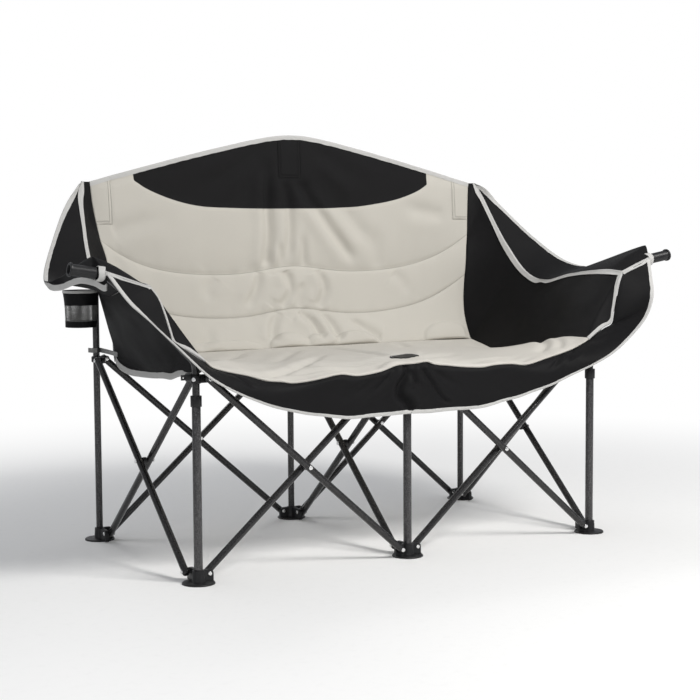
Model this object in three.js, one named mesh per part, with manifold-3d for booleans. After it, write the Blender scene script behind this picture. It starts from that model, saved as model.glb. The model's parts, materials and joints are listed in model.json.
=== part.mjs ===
// Folding camping loveseat: a padded two-seat bucket of cloth slung in a scissor frame of steel tube.
// Units are millimetres. +Z is up, the sitter faces -Y, and the origin is on the ground in the middle
// of the part's own box. Six feet stand in three columns and two rows, and pairs of crossed tubes join
// each foot to the hubs of its neighbours, so that the frame gathers into a bundle.

import * as THREE from 'three';
import { mergeVertices } from 'three/addons/utils/BufferGeometryUtils.js';
import Module from 'manifold-3d';

const wasm = await Module();
wasm.setup();

// Frame: driving sizes. All cross tubes are alike, so the two rows stand as far apart as their ears allow
const legPitch = 530;
const hubPivotHeight = 440;
const footPivotHeight = 20;
const pivotReach = 25;
const rowPivotReach = 40;
const crossSpan = legPitch - 2 * pivotReach;
const rowPitch = crossSpan + 2 * rowPivotReach;
const poleOverHub = 409;
const sidePoleTop = hubPivotHeight + poleOverHub;
const middlePoleRise = 111;
const middlePoleTop = sidePoleTop + middlePoleRise;

// Tubes and what slides in them
const legTubeDiameter = 19;
const slimTubeDiameter = 16;
const tubeWall = 1.2;
const crossTubeOverrun = 9;
const legTubeBelowHub = 40;
const legTubeTop = hubPivotHeight - legTubeBelowHub;
const innerTubeBottom = 50;
const runningGap = 0.3;
const slidingGap = 0.7;
const cutOverrun = 1;

// Plastic feet and hubs
const footFlangeDiameter = 72;
const footFlangeThickness = 4;
const footFlangeBevel = 1.5;
const footFloor = 5;
const bossWall = 3.5;
const bossDraft = 1.2;
const earThickness = 8;
const earRadius = 9;
const frontHubHeight = 20;
const rearHubHeight = 15;
const hubChamfer = 2;
const strapTabReach = 34;
const strapTabHeight = 11;
const strapTabThickness = 4;
const strapTabRise = 4;
const strapTabHole = 5;

// Leg collar, pole caps and arm caps
const collarGrip = 19;
const collarLip = 4;
const collarBottom = legTubeTop - collarGrip;
const collarTop = legTubeTop + collarLip;
const collarWall = 2.5;
const poleCapWall = 1.2;
const poleCapSkirt = 9;
const poleCapRoof = 2;
const armCapDiameter = 25;
const armCapRimDiameter = 30;
const armCapRimLength = 5;
const armCapLength = 57;
const armCapRecess = 9;
const armCapRecessWall = 2.5;
const armTubeInCap = 41;

// Rivets
const rivetShankDiameter = 5.4;
const rivetHoleDiameter = 6.4;
const rivetHeadDiameter = 9.5;
const rivetHeadHeight = 2;
const rivetCrownShare = 0.62;
const spacerDiameter = 15;

// Arm post: the bent upper tube at each front corner. Its last bend, the mouth, lies short of its end
const armOverLeg = 268;
const armEndReach = legPitch + armOverLeg;
const armEndBack = 28;
const armOverHub = 237;
const armEndHeight = hubPivotHeight + armOverHub;
const armMouthInset = 76;
const armMouthAhead = 3;
const armMouthDrop = 12;
const postBendStart = 24;
const postBendRadius = 38;
const postElbowShares = [0.755, 0.48, 0.775];

// Cloth sling: padded back and seat
const backOverPole = 15;
const backHalfWidth = legPitch + backOverPole;
const clothOverSidePole = 16;
const backTopCorner = sidePoleTop + clothOverSidePole;
const clothOverMiddlePole = 23;
const backTopMiddle = middlePoleTop + clothOverMiddlePole;
const backTopBow = 1.1;
const topRoundShare = 0.1;
const backPadThickness = 11;
const seatPadThickness = 12;
const seamThickness = 4;
const crownPower = 0.4;
const crownEdgePower = 8;
const poleToCloth = 1.2;
const creaseOverHub = 7;
const creaseHeight = hubPivotHeight + creaseOverHub;
const creaseAheadOfPivot = 40;
const creaseSetback = rowPivotReach + creaseAheadOfPivot;
const backBendRise = 193;
const backBendPower = 2.2;
const sideWrap = 34;
const sideWrapPower = 6;
const upperQuiltRise = 193;
const lowerQuiltRise = 83;
const quiltEdgeRise = 92;
const quiltRisePower = 4.5;
const seatOverHub = 22;
const seatOverCorner = 40;
const seatDip = 31;
const seatDipPower = 1.15;
const seatHang = 5;
const frontReachMiddle = 38;
const frontReachCorner = 14;
const frontLipDrop = 13;
const frontLipShare = 0.975;
const sewnGap = 0.4;

// Widths of the sling as shares of the back's half width, from the top edge to the crease
const backWidthShares = [
  [0, 1], [0.15, 0.99], [0.33, 0.97], [0.47, 0.951], [0.67, 0.937], [0.85, 0.927], [1, 0.934],
];
// The same along the seat, from the crease to the front edge
const seatWidthShares = [[0, 0.934], [0.35, 0.918], [0.65, 0.928], [1, 0.943]];

// Cloth sides, wings and front skirt
const clothThickness = 2;
const cornerOverPole = 33;
const wingTipInset = 60;
const wingTipAhead = 11;
const wingTipRise = 7;
const wingCornerInset = 43;
const wingCornerRowShare = 0.482;
const wingHemDepth = 58;
const wingFrontRise = 6;
const wingRisePower = 4;
const ridgeElbowRowShare = 0.5214;
const skirtDrop = 112;
const skirtBulge = 94;
const skirtTipInset = 62;
const skirtTipAhead = 19;
const skirtTipDrop = 9;
const skirtFoldDepth = 7;
const skirtFoldCount = 9;
const gatherReachShare = 0.22;

// Pole pockets behind the back, and the mesh cups outside the arms
const pocketDepth = 95;
const pocketCloth = 2;
const pocketGap = 0.6;
const cupRadius = 42;
const cupHeight = 84;
const cupWall = 2;
const cupOverHub = 87;
const cupBottomHeight = hubPivotHeight + cupOverHub;
const cupAheadOfPole = 105;
const cupBack = rowPitch - cupAheadOfPole;
const cupBottomShare = 0.86;

// Facets
const tubeSides = 10;
const bossSides = 14;
const flangeSides = 18;
const rivetSides = 6;
const arcSteps = 3;
const bendSteps = 4;
const backColumns = 20;
const backBands = 3;
const bandRows = 4;
const seatColumns = 20;
const seatRows = 9;
const lipRows = 2;
const sideColumns = 18;
const sideRows = 6;
const wingColumns = 18;
const wingRows = 5;
const hemRows = 1;
const skirtColumns = 52;
const skirtRows = 3;
const cupSamples = 60;

// Derived places
const pivotRise = hubPivotHeight - footPivotHeight;
const crossTubeLength = Math.hypot(crossSpan, pivotRise);
const crossTubeAngle = Math.atan2(pivotRise, crossSpan);
const legTubeRadius = legTubeDiameter / 2;
const slimTubeRadius = slimTubeDiameter / 2;
const crossTubeOffset = earThickness / 2 + runningGap + slimTubeRadius;
const backMidPlane = rowPitch - slimTubeRadius - poleToCloth - backPadThickness / 2;
const columns = { left: -1, middle: 0, right: 1 };
const rows = { front: 0, rear: 1 };
// The rivet through each front hub passes between its ears
const fastenerTurns = { left: -Math.PI / 4, middle: Math.PI / 4, right: Math.PI / 4 };

const steel = (color) => new THREE.MeshStandardMaterial({ color, roughness: 0.42, metalness: 0.75 });
const plastic = (color) => new THREE.MeshStandardMaterial({ color, roughness: 0.6, metalness: 0 });
const cloth = (color) => new THREE.MeshStandardMaterial({ color, roughness: 0.95, metalness: 0 });
const greySteel = steel(0x4b4e50);
const darkSteel = steel(0x2f3133);
const zinc = new THREE.MeshStandardMaterial({ color: 0xc4c6c8, roughness: 0.3, metalness: 0.95 });
const blackPlastic = plastic(0x191a1b);
const creamCloth = cloth(0xcdc8c0);
const blackCloth = cloth(0x2a2b2d);
const greyMesh = cloth(0x77787a);

// Solids: join and cut

function outward(geometry) {
  const position = geometry.attributes.position;
  const index = geometry.index;
  const a = new THREE.Vector3();
  const b = new THREE.Vector3();
  const c = new THREE.Vector3();
  let volume = 0;
  for (let i = 0; i < index.count; i += 3) {
    a.fromBufferAttribute(position, index.getX(i));
    b.fromBufferAttribute(position, index.getX(i + 1));
    c.fromBufferAttribute(position, index.getX(i + 2));
    volume += a.dot(b.cross(c));
  }
  if (volume < 0) {
    const turned = Array.from(index.array);
    for (let i = 0; i < turned.length; i += 3) {
      [turned[i], turned[i + 1]] = [turned[i + 1], turned[i]];
    }
    geometry.setIndex(turned);
  }
  return geometry;
}

function toSolid(source) {
  const bare = source.clone();
  bare.deleteAttribute('normal');
  bare.deleteAttribute('uv');
  const merged = mergeVertices(bare, 1e-4);
  const corners = merged.index.array;
  const kept = [];
  for (let i = 0; i < corners.length; i += 3) {
    const [a, b, c] = [corners[i], corners[i + 1], corners[i + 2]];
    if (a !== b && b !== c && c !== a) kept.push(a, b, c);
  }
  merged.setIndex(kept);
  outward(merged);
  const vertProperties = new Float32Array(merged.attributes.position.array);
  const triVerts = new Uint32Array(merged.index.array);
  return new wasm.Manifold(new wasm.Mesh({ numProp: 3, vertProperties, triVerts }));
}

function toGeometry(solid) {
  const result = solid.getMesh();
  const geometry = new THREE.BufferGeometry();
  geometry.setAttribute('position', new THREE.BufferAttribute(new Float32Array(result.vertProperties), 3));
  geometry.setIndex(Array.from(result.triVerts));
  geometry.computeVertexNormals();
  return geometry;
}

function joined(geometries) {
  return geometries.map(toSolid).reduce((whole, next) => whole.add(next));
}

function cut(solid, geometries) {
  return geometries.map(toSolid).reduce((rest, next) => rest.subtract(next), solid);
}

// Shapes

function lathe(profile, sides) {
  const points = profile.map(([radius, height]) => new THREE.Vector2(radius, height));
  return new THREE.LatheGeometry(points, sides).rotateX(Math.PI / 2);
}

function rod(radius, low, high, sides = tubeSides) {
  return lathe([[0, low], [radius, low], [radius, high], [0, high]], sides);
}

function pipe(outerRadius, innerRadius, low, high, sides = tubeSides) {
  return lathe([
    [outerRadius, low], [outerRadius, high], [innerRadius, high], [innerRadius, low], [outerRadius, low],
  ], sides);
}

function slimPipe(low, high) {
  return pipe(slimTubeRadius, slimTubeRadius - tubeWall, low, high);
}

// A plate whose outline lies in the XZ plane, with its thickness across Y
function plate(outline, thickness) {
  const shape = new THREE.Shape(outline.map(([x, z]) => new THREE.Vector2(x, z)));
  const geometry = new THREE.ExtrudeGeometry(shape, { depth: thickness, bevelEnabled: false });
  return geometry.translate(0, 0, -thickness / 2).rotateX(Math.PI / 2);
}

function arc(centreX, centreZ, radius, from, to, steps = arcSteps) {
  const points = [];
  for (let i = 0; i <= steps; i += 1) {
    const angle = from + (to - from) * i / steps;
    points.push([centreX + radius * Math.cos(angle), centreZ + radius * Math.sin(angle)]);
  }
  return points;
}

// Rivets lie along Y: the near head is outside y = 0 and the far head outside y = grip
function rivet(grip, spacer = null) {
  const shank = rivetShankDiameter / 2;
  const head = rivetHeadDiameter / 2;
  const crown = head * rivetCrownShare;
  const profile = [[0, -rivetHeadHeight], [crown, -rivetHeadHeight], [head, 0], [shank, 0]];
  if (spacer) {
    const [low, high] = spacer;
    profile.push([shank, low], [spacerDiameter / 2, low], [spacerDiameter / 2, high], [shank, high]);
  }
  profile.push([shank, grip], [head, grip], [crown, grip + rivetHeadHeight], [0, grip + rivetHeadHeight]);
  return lathe(profile, rivetSides).rotateX(-Math.PI / 2);
}

function rivetHole(x, z, halfLength) {
  const hole = rod(rivetHoleDiameter / 2, -halfLength, halfLength, rivetSides);
  return hole.rotateX(Math.PI / 2).translate(x, 0, z);
}

// Smooth value along a table of [place, value] pairs, with places from 0 to 1
function along(table, place) {
  let i = 0;
  while (i < table.length - 2 && place > table[i + 1][0]) i += 1;
  const [x0, y0] = table[i];
  const [x1, y1] = table[i + 1];
  const slope = (k) => {
    const low = table[Math.max(k - 1, 0)];
    const high = table[Math.min(k + 1, table.length - 1)];
    return (high[1] - low[1]) / (high[0] - low[0]);
  };
  const t = (place - x0) / (x1 - x0);
  const width = x1 - x0;
  const h00 = 2 * t ** 3 - 3 * t ** 2 + 1;
  const h10 = t ** 3 - 2 * t ** 2 + t;
  const h01 = 3 * t ** 2 - 2 * t ** 3;
  const h11 = t ** 3 - t ** 2;
  return h00 * y0 + h10 * width * slope(i) + h01 * y1 + h11 * width * slope(i + 1);
}

const mix = THREE.MathUtils.lerp;
const at = (x, y, z) => new THREE.Vector3(x, y, z);

// A closed sheet about the middle surface pointAt(a, b), with a and b from 0 to 1
function sheet(pointAt, halfThickness, acrossSteps, alongSteps) {
  const positions = [];
  const indices = [];
  const step = 1e-3;
  const layers = [1, -1];
  const count = (acrossSteps + 1) * (alongSteps + 1);
  for (const side of layers) {
    for (let j = 0; j <= alongSteps; j += 1) {
      for (let i = 0; i <= acrossSteps; i += 1) {
        const a = i / acrossSteps;
        const b = j / alongSteps;
        const [a0, a1] = [Math.max(a - step, 0), Math.min(a + step, 1)];
        const [b0, b1] = [Math.max(b - step, 0), Math.min(b + step, 1)];
        const inward = (value) => Math.min(Math.max(value, step), 1 - step);
        const alongA = pointAt(a1, inward(b)).sub(pointAt(a0, inward(b)));
        const alongB = pointAt(inward(a), b1).sub(pointAt(inward(a), b0));
        const normal = alongA.cross(alongB).normalize();
        const point = pointAt(a, b).addScaledVector(normal, side * halfThickness(a, b));
        positions.push(point.x, point.y, point.z);
      }
    }
  }
  const place = (i, j, layer) => layer * count + j * (acrossSteps + 1) + i;
  const quad = (p, q, r, s) => indices.push(p, q, r, p, r, s);
  const [endI, endJ] = [acrossSteps, alongSteps];
  for (let j = 0; j < alongSteps; j += 1) {
    for (let i = 0; i < acrossSteps; i += 1) {
      quad(place(i, j, 0), place(i + 1, j, 0), place(i + 1, j + 1, 0), place(i, j + 1, 0));
      quad(place(i, j, 1), place(i, j + 1, 1), place(i + 1, j + 1, 1), place(i + 1, j, 1));
    }
  }
  for (let i = 0; i < acrossSteps; i += 1) {
    quad(place(i, 0, 0), place(i, 0, 1), place(i + 1, 0, 1), place(i + 1, 0, 0));
    quad(place(i, endJ, 0), place(i + 1, endJ, 0), place(i + 1, endJ, 1), place(i, endJ, 1));
  }
  for (let j = 0; j < alongSteps; j += 1) {
    quad(place(0, j, 0), place(0, j + 1, 0), place(0, j + 1, 1), place(0, j, 1));
    quad(place(endI, j, 0), place(endI, j, 1), place(endI, j + 1, 1), place(endI, j + 1, 0));
  }
  const geometry = new THREE.BufferGeometry();
  geometry.setAttribute('position', new THREE.Float32BufferAttribute(positions, 3));
  geometry.setIndex(indices);
  outward(geometry);
  geometry.computeVertexNormals();
  return geometry;
}

// A surface held by four edges: a runs along low and high, b from low to high. The bulge of the end edge
// fades over the share endFade of the surface
function patch(low, high, start, end, endFade = 1) {
  const bulge = (edge, b) => edge(b).sub(edge(0).lerp(edge(1), b));
  return (a, b) => {
    const nearEnd = Math.max(1 - (1 - a) / endFade, 0);
    return low(a).lerp(high(a), b)
      .addScaledVector(bulge(start, b), 1 - a)
      .addScaledVector(bulge(end, b), nearEnd);
  };
}

function through(points) {
  const curve = new THREE.CatmullRomCurve3(points, false, 'centripetal');
  return (t) => curve.getPoint(THREE.MathUtils.clamp(t, 0, 1));
}

// A point between two corners of a box, by one share for each axis
function boxPoint(from, to, [shareX, shareY, shareZ]) {
  return at(mix(from.x, to.x, shareX), mix(from.y, to.y, shareY), mix(from.z, to.z, shareZ));
}

// Assembly
const loveseat = new THREE.Group();

function add(name, geometry, material, parent = loveseat) {
  const mesh = new THREE.Mesh(geometry, material);
  mesh.name = name;
  parent.add(mesh);
  return mesh;
}

const cornerOf = (column, row) => at(columns[column] * legPitch, rows[row] * rowPitch, 0);

// The ears of a foot or hub point at its neighbours in the grid
function earDirections(column, row) {
  const directions = [];
  if (column !== 'left') directions.push({ turn: Math.PI, reach: pivotReach });
  if (column !== 'right') directions.push({ turn: 0, reach: pivotReach });
  directions.push({ turn: row === 'front' ? Math.PI / 2 : -Math.PI / 2, reach: rowPivotReach });
  return directions;
}

function foot(column, row, tubeRadius) {
  const boss = tubeRadius + runningGap + bossWall;
  const top = footPivotHeight + earRadius;
  const flange = footFlangeDiameter / 2;
  const body = [
    lathe([
      [0, 0], [flange, 0], [flange, footFlangeThickness - footFlangeBevel],
      [flange - footFlangeBevel, footFlangeThickness], [0, footFlangeThickness],
    ], flangeSides),
    lathe([
      [0, footFlangeThickness / 2], [boss + bossDraft, footFlangeThickness / 2], [boss, top], [0, top],
    ], bossSides),
  ];
  const holes = [rod(tubeRadius + runningGap, footFloor, top + cutOverrun)];
  for (const { turn, reach } of earDirections(column, row)) {
    const bottom = footFlangeThickness / 2;
    const outline = [
      [0, bottom], [reach + earRadius, bottom],
      ...arc(reach, footPivotHeight, earRadius, 0, Math.PI / 2), [0, top],
    ];
    body.push(plate(outline, earThickness).rotateZ(turn));
    holes.push(rivetHole(reach, footPivotHeight, earThickness).rotateZ(turn));
  }
  return toGeometry(cut(joined(body), holes));
}

function hub(column, row, gap, height) {
  const boss = slimTubeRadius + gap + bossWall;
  const half = height / 2;
  const body = [lathe([
    [0, -half], [boss - hubChamfer, -half], [boss, hubChamfer - half],
    [boss, half - hubChamfer], [boss - hubChamfer, half], [0, half],
  ], bossSides)];
  const holes = [rod(slimTubeRadius + gap, -half - cutOverrun, half + cutOverrun)];
  const earHalf = Math.min(earRadius, half);
  for (const { turn, reach } of earDirections(column, row)) {
    const tip = arc(reach, 0, earHalf, -Math.PI / 2, Math.PI / 2, 2 * arcSteps);
    const outline = [[0, -earHalf], ...tip, [0, earHalf]];
    body.push(plate(outline, earThickness).rotateZ(turn));
    holes.push(rivetHole(reach, 0, earThickness).rotateZ(turn));
  }
  if (row === 'front') {
    holes.push(rivetHole(0, 0, 2 * boss).rotateZ(fastenerTurns[column]));
  }
  if (row === 'front' && column !== 'middle') {
    const low = strapTabRise - strapTabHeight / 2;
    const high = low + strapTabHeight;
    const reach = columns[column] * strapTabReach;
    body.push(plate([[0, low], [reach, low], [reach, high], [0, high]], strapTabThickness));
    const holeReach = columns[column] * (strapTabReach - strapTabHole);
    holes.push(rod(strapTabHole / 2, -earThickness, earThickness, rivetSides).rotateX(Math.PI / 2)
      .translate(holeReach, 0, strapTabRise));
  }
  return toGeometry(cut(joined(body), holes));
}

// A cross tube lies along X from its foot pivot at 0, with the ears that carry it on its +Y side.
// Each end has a rivet, with a head on the outer wall and a shank from the other wall through the ear
function crossTube() {
  const tube = toSolid(slimPipe(-crossTubeOverrun, crossTubeLength + crossTubeOverrun).rotateY(Math.PI / 2));
  const ends = [
    ...arc(0, 0, crossTubeOverrun, Math.PI / 2, 3 * Math.PI / 2),
    ...arc(crossTubeLength, 0, crossTubeOverrun, -Math.PI / 2, Math.PI / 2),
  ];
  const rounded = tube.intersect(toSolid(plate(ends, 2 * slimTubeDiameter)));
  const drilled = cut(rounded, [rivetHole(crossTubeLength / 2, 0, slimTubeDiameter)]);
  const wallMiddle = slimTubeRadius - tubeWall / 2;
  const farFace = slimTubeRadius + runningGap + earThickness + runningGap;
  const shank = rivetShankDiameter / 2;
  const head = rivetHeadDiameter / 2;
  const rivetHalves = [0, crossTubeLength].flatMap((x) => [
    lathe([[0, wallMiddle], [head, wallMiddle], [head * rivetCrownShare, slimTubeRadius + rivetHeadHeight],
      [0, slimTubeRadius + rivetHeadHeight]], rivetSides).rotateX(Math.PI / 2).translate(x, 0, 0),
    lathe([[0, wallMiddle], [shank, wallMiddle], [shank, farFace], [head, farFace],
      [head * rivetCrownShare, farFace + rivetHeadHeight], [0, farFace + rivetHeadHeight]], rivetSides)
      .rotateX(-Math.PI / 2).translate(x, 0, 0),
  ]);
  return toGeometry(rivetHalves.map(toSolid).reduce((whole, next) => whole.add(next), drilled));
}

function crossRivet() {
  const inner = crossTubeOffset - slimTubeRadius - runningGap;
  const grip = 2 * (crossTubeOffset + slimTubeRadius + runningGap);
  const middle = grip / 2;
  return rivet(grip, [middle - inner, middle + inner]).translate(0, -middle, 0);
}

function poleCap() {
  const outer = slimTubeRadius + runningGap + poleCapWall;
  const inner = slimTubeRadius + runningGap;
  return lathe([
    [inner, -poleCapSkirt], [outer, -poleCapSkirt], [outer, runningGap],
    [outer * rivetCrownShare, runningGap + poleCapRoof], [0, runningGap + poleCapRoof],
    [0, runningGap], [inner, runningGap], [inner, -poleCapSkirt],
  ], tubeSides);
}

// Straight runs joined by bends of one radius, with stations only at the bends and the ends
class BentPath extends THREE.Curve {
  constructor(corners, radius) {
    super();
    const last = corners.length - 1;
    const directions = corners.slice(1).map((corner, i) => corner.clone().sub(corners[i]).normalize());
    this.stations = [{ place: corners[0], tangent: directions[0] }];
    for (let i = 1; i < last; i += 1) {
      const setback = radius * Math.tan(directions[i - 1].angleTo(directions[i]) / 2);
      const start = corners[i].clone().addScaledVector(directions[i - 1], -setback);
      const end = corners[i].clone().addScaledVector(directions[i], setback);
      const bend = new THREE.QuadraticBezierCurve3(start, corners[i], end);
      for (let k = 0; k <= bendSteps; k += 1) {
        this.stations.push({ place: bend.getPoint(k / bendSteps), tangent: bend.getTangent(k / bendSteps) });
      }
    }
    this.stations.push({ place: corners[last], tangent: directions[last - 1] });
  }

  get steps() {
    return this.stations.length - 1;
  }

  getPointAt(share) {
    return this.stations[Math.round(share * this.steps)].place.clone();
  }

  getTangentAt(share) {
    return this.stations[Math.round(share * this.steps)].tangent.clone();
  }
}

function ringShape(outerRadius, innerRadius) {
  const shape = new THREE.Shape();
  shape.absarc(0, 0, outerRadius, 0, 2 * Math.PI);
  const bore = new THREE.Path();
  bore.absarc(0, 0, innerRadius, 0, 2 * Math.PI, true);
  shape.holes.push(bore);
  return shape;
}

const armEnd = at(armEndReach, armEndBack, armEndHeight);
const postBend = at(legPitch, 0, hubPivotHeight + frontHubHeight / 2 + postBendStart);

// The post on the right; the left one is its mirror image
function armPostPoints(side) {
  const mouth = armEnd.clone().sub(at(armMouthInset, armMouthAhead, armMouthDrop));
  const outward = armEnd.clone().sub(mouth).normalize();
  return [
    at(legPitch, 0, innerTubeBottom),
    postBend.clone(),
    boxPoint(postBend, mouth, postElbowShares),
    mouth,
    armEnd.clone().addScaledVector(outward, armTubeInCap - armCapLength),
  ].map((point) => at(side * point.x, point.y, point.z));
}

function hubFastener() {
  const hubBoss = slimTubeRadius + runningGap + bossWall;
  return rivet(2 * (hubBoss + runningGap)).translate(0, -hubBoss - runningGap, 0);
}

function armPost(side) {
  const path = new BentPath(armPostPoints(side), postBendRadius);
  const tube = new THREE.ExtrudeGeometry(ringShape(slimTubeRadius, slimTubeRadius - tubeWall), {
    curveSegments: tubeSides / 2, steps: path.steps, bevelEnabled: false, extrudePath: path,
  });
  const column = side < 0 ? 'left' : 'right';
  const fastener = hubFastener().rotateZ(fastenerTurns[column]);
  return toGeometry(joined([tube, fastener.translate(side * legPitch, 0, hubPivotHeight)]));
}

function middleUpperTube() {
  const tube = slimPipe(innerTubeBottom, hubPivotHeight + frontHubHeight / 2);
  const fastener = hubFastener().rotateZ(fastenerTurns.middle).translate(0, 0, hubPivotHeight);
  return toGeometry(joined([tube, fastener]));
}

// The cap lies along Z with its open mouth for the tube below and its rim on top
function armCap() {
  const outer = armCapDiameter / 2;
  const rim = armCapRimDiameter / 2;
  const recess = outer - armCapRecessWall;
  const bore = slimTubeRadius + runningGap;
  const tubeStop = armTubeInCap + runningGap;
  return lathe([
    [bore, 0], [outer, 0], [outer, armCapLength - armCapRimLength], [rim, armCapLength - armCapRimLength],
    [rim, armCapLength], [recess, armCapLength], [recess, armCapLength - armCapRecess],
    [0, armCapLength - armCapRecess], [0, tubeStop], [bore, tubeStop], [bore, 0],
  ], bossSides);
}

function legCollar() {
  const outer = legTubeRadius + runningGap + collarWall;
  const around = legTubeRadius + runningGap;
  const lip = slimTubeRadius + runningGap;
  const shoulder = legTubeTop + runningGap;
  return lathe([
    [around, collarBottom], [outer, collarBottom], [outer, collarTop], [lip, collarTop],
    [lip, shoulder], [around, shoulder], [around, collarBottom],
  ], bossSides);
}

// Cloth surfaces

const creaseBack = rowPitch - creaseSetback;

function topLine(u) {
  const rounded = (share) => Math.hypot(share, topRoundShare) - topRoundShare;
  return mix(backTopMiddle, backTopCorner, (rounded(u) / rounded(1)) ** backTopBow);
}

function quiltLine(u, rise) {
  return creaseHeight + rise + quiltEdgeRise * Math.abs(u) ** quiltRisePower;
}

function backPoint(a, b) {
  const u = 2 * a - 1;
  const lines = [topLine(u), quiltLine(u, upperQuiltRise), quiltLine(u, lowerQuiltRise), creaseHeight];
  const bands = lines.length - 1;
  const band = Math.min(Math.floor(bands * b), bands - 1);
  const z = mix(lines[band], lines[band + 1], bands * b - band);
  const lean = 1 - THREE.MathUtils.clamp((z - creaseHeight) / backBendRise, 0, 1);
  const wrap = sideWrap * Math.abs(u) ** sideWrapPower * Math.sin(Math.PI * b ** 2 * (2 - b));
  const y = mix(backMidPlane, creaseBack, lean ** backBendPower) - wrap;
  return at(u * backHalfWidth * along(backWidthShares, b), y, z);
}

function frontLine(u) {
  const overHub = mix(seatOverHub, seatOverCorner, Math.abs(u));
  return hubPivotHeight + overHub - seatDip * Math.sin(Math.PI * Math.abs(u) ** seatDipPower) ** 2;
}

function seatPoint(a, b) {
  const u = 2 * a - 1;
  const frontReach = mix(frontReachCorner, frontReachMiddle, Math.cos(Math.PI / 2 * u));
  const lip = Math.max((b - frontLipShare) / (1 - frontLipShare), 0);
  const hang = seatHang * Math.sin(Math.PI * b) * Math.cos(Math.PI / 2 * u);
  const z = mix(creaseHeight, frontLine(u), b) - hang - frontLipDrop * lip ** 2;
  return at(u * backHalfWidth * along(seatWidthShares, b), mix(creaseBack, -frontReach, b), z);
}

// Spends the last lipRows of all rows on what lies past the share lipShare
function stepsToLip(b, rowCount, lipRows, lipShare) {
  const turn = (rowCount - lipRows) / rowCount;
  return b < turn ? lipShare * b / turn : mix(lipShare, 1, (b - turn) / (1 - turn));
}

// A pad is thickest between its seams and thin where it is sewn
function padThickness(pad, bands) {
  return (a, b) => {
    const u = 2 * a - 1;
    const place = bands * b - Math.floor(bands * b);
    const crown = (4 * place * (1 - place)) ** crownPower * (1 - Math.abs(u) ** crownEdgePower);
    return mix(seamThickness, pad, crown) / 2;
  };
}

// The crease leaves a small gap between the two pads, which are sewn together there
function backPad() {
  const creaseGap = sewnGap / (backTopCorner - creaseHeight);
  const point = (a, b) => backPoint(a, b * (1 - creaseGap));
  return sheet(point, padThickness(backPadThickness, backBands), backColumns, backBands * bandRows);
}

function seatPad() {
  const creaseGap = (sewnGap + seamThickness) / creaseBack;
  const place = (b) => mix(creaseGap, 1, stepsToLip(b, seatRows, lipRows, frontLipShare));
  const thickness = padThickness(seatPadThickness, 1);
  return sheet((a, b) => seatPoint(a, place(b)), (a, b) => thickness(a, place(b)), seatColumns, seatRows);
}

// A cloth pouch behind the back takes the top of each pole
function polePocket(column) {
  const poleTop = column === 'middle' ? middlePoleTop : sidePoleTop;
  const bore = slimTubeRadius + runningGap + poleCapWall + pocketGap;
  const top = poleTop + runningGap + poleCapRoof + pocketGap;
  const neck = slimTubeRadius;
  const neckDepth = rowPitch - backMidPlane;
  const pouch = [
    rod(bore + pocketCloth, poleTop - pocketDepth, top + pocketCloth),
    new THREE.BoxGeometry(2 * neck, neckDepth, top + pocketCloth - poleTop + pocketDepth)
      .translate(0, -neckDepth / 2, (top + pocketCloth + poleTop - pocketDepth) / 2),
  ];
  const hollow = rod(bore, poleTop - pocketDepth - cutOverrun, top);
  const seat = columns[column] * legPitch;
  return {
    pouch: pouch.map((piece) => piece.translate(seat, rowPitch, 0)),
    hollow: hollow.translate(seat, rowPitch, 0),
  };
}

function backPanel() {
  const pockets = Object.keys(columns).map(polePocket);
  const whole = joined([backPad(), ...pockets.flatMap((pocket) => pocket.pouch)]);
  return toGeometry(cut(whole, pockets.map((pocket) => pocket.hollow)));
}

// Rails of the arm, for the right side: the ridge between side panel and wing, and the wing's outer edge.
// Their inner corners lie part of the way from the post's lowest bend to the wing's tip
const armInnerShares = [0.486, 0.118, 0.776];
const ridgeElbowShares = [0.361, 0, 0.629];
const wingCornerShares = [0, 0, 0.795];
const skirtCornerShares = [0.437, 0, 0.253];
const cornerPoint = at(legPitch + cornerOverPole, backMidPlane, backTopCorner);
const wingTip = armEnd.clone().add(at(-wingTipInset, -wingTipAhead, wingTipRise));
const armInner = boxPoint(postBend, wingTip, armInnerShares);
const ridgeElbow = boxPoint(postBend, wingTip, ridgeElbowShares).setY(ridgeElbowRowShare * rowPitch);
const wingCorner = boxPoint(postBend, wingTip, wingCornerShares)
  .setX(armEndReach - wingCornerInset)
  .setY(wingCornerRowShare * rowPitch);
const ridgeRearShares = [[0.3, 0.06, 0.14], [0.5, 0.2, 0.35], [0.75, 0.42, 0.65], [0.93, 0.72, 0.92]];
const ridgeFrontShares = [[0.19, 0.4, 0.68], [0.46, 0.8, 1.06]];
const wingRearShares = [[0.11, 0.08, 0.06], [0.3, 0.14, 0.26], [0.66, 0.43, 0.7], [0.88, 0.69, 0.94]];
const crestShares = [[0.7, 0.2, 0.3], [0.8, 0.5, 0.83], [0.9, 0.85, 1.35]];
const hemDepthShares = [[0, 0], [0.5, 0], [0.62, 0.4], [0.8, 0.68], [0.9, 1], [0.95, 0.3], [1, 0]];
const wingFoldShare = 0.8;
const sideTurnShare = 0.015;
const frontSeamShares = [[0.23, 0.3, 0.16], [0.55, 0, 0.34], [0.69, 0.1, 0.54], [0.84, 0.3, 0.83]];

const ridge = through([
  cornerPoint,
  ...ridgeRearShares.map((shares) => boxPoint(cornerPoint, ridgeElbow, shares)),
  ridgeElbow,
  ...ridgeFrontShares.map((shares) => boxPoint(ridgeElbow, armInner, shares)),
  armInner,
]);

const wingCrest = through([
  cornerPoint,
  ...wingRearShares.map((shares) => boxPoint(cornerPoint, wingCorner, shares)),
  wingCorner,
  ...crestShares.map((shares) => boxPoint(wingCorner, wingTip, shares)),
  wingTip,
]);

const seatCorner = seatPoint(1, 1);
const frontSeam = through([
  seatCorner,
  ...frontSeamShares.map((shares) => boxPoint(seatCorner, armInner, shares)),
  armInner,
]);

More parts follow.
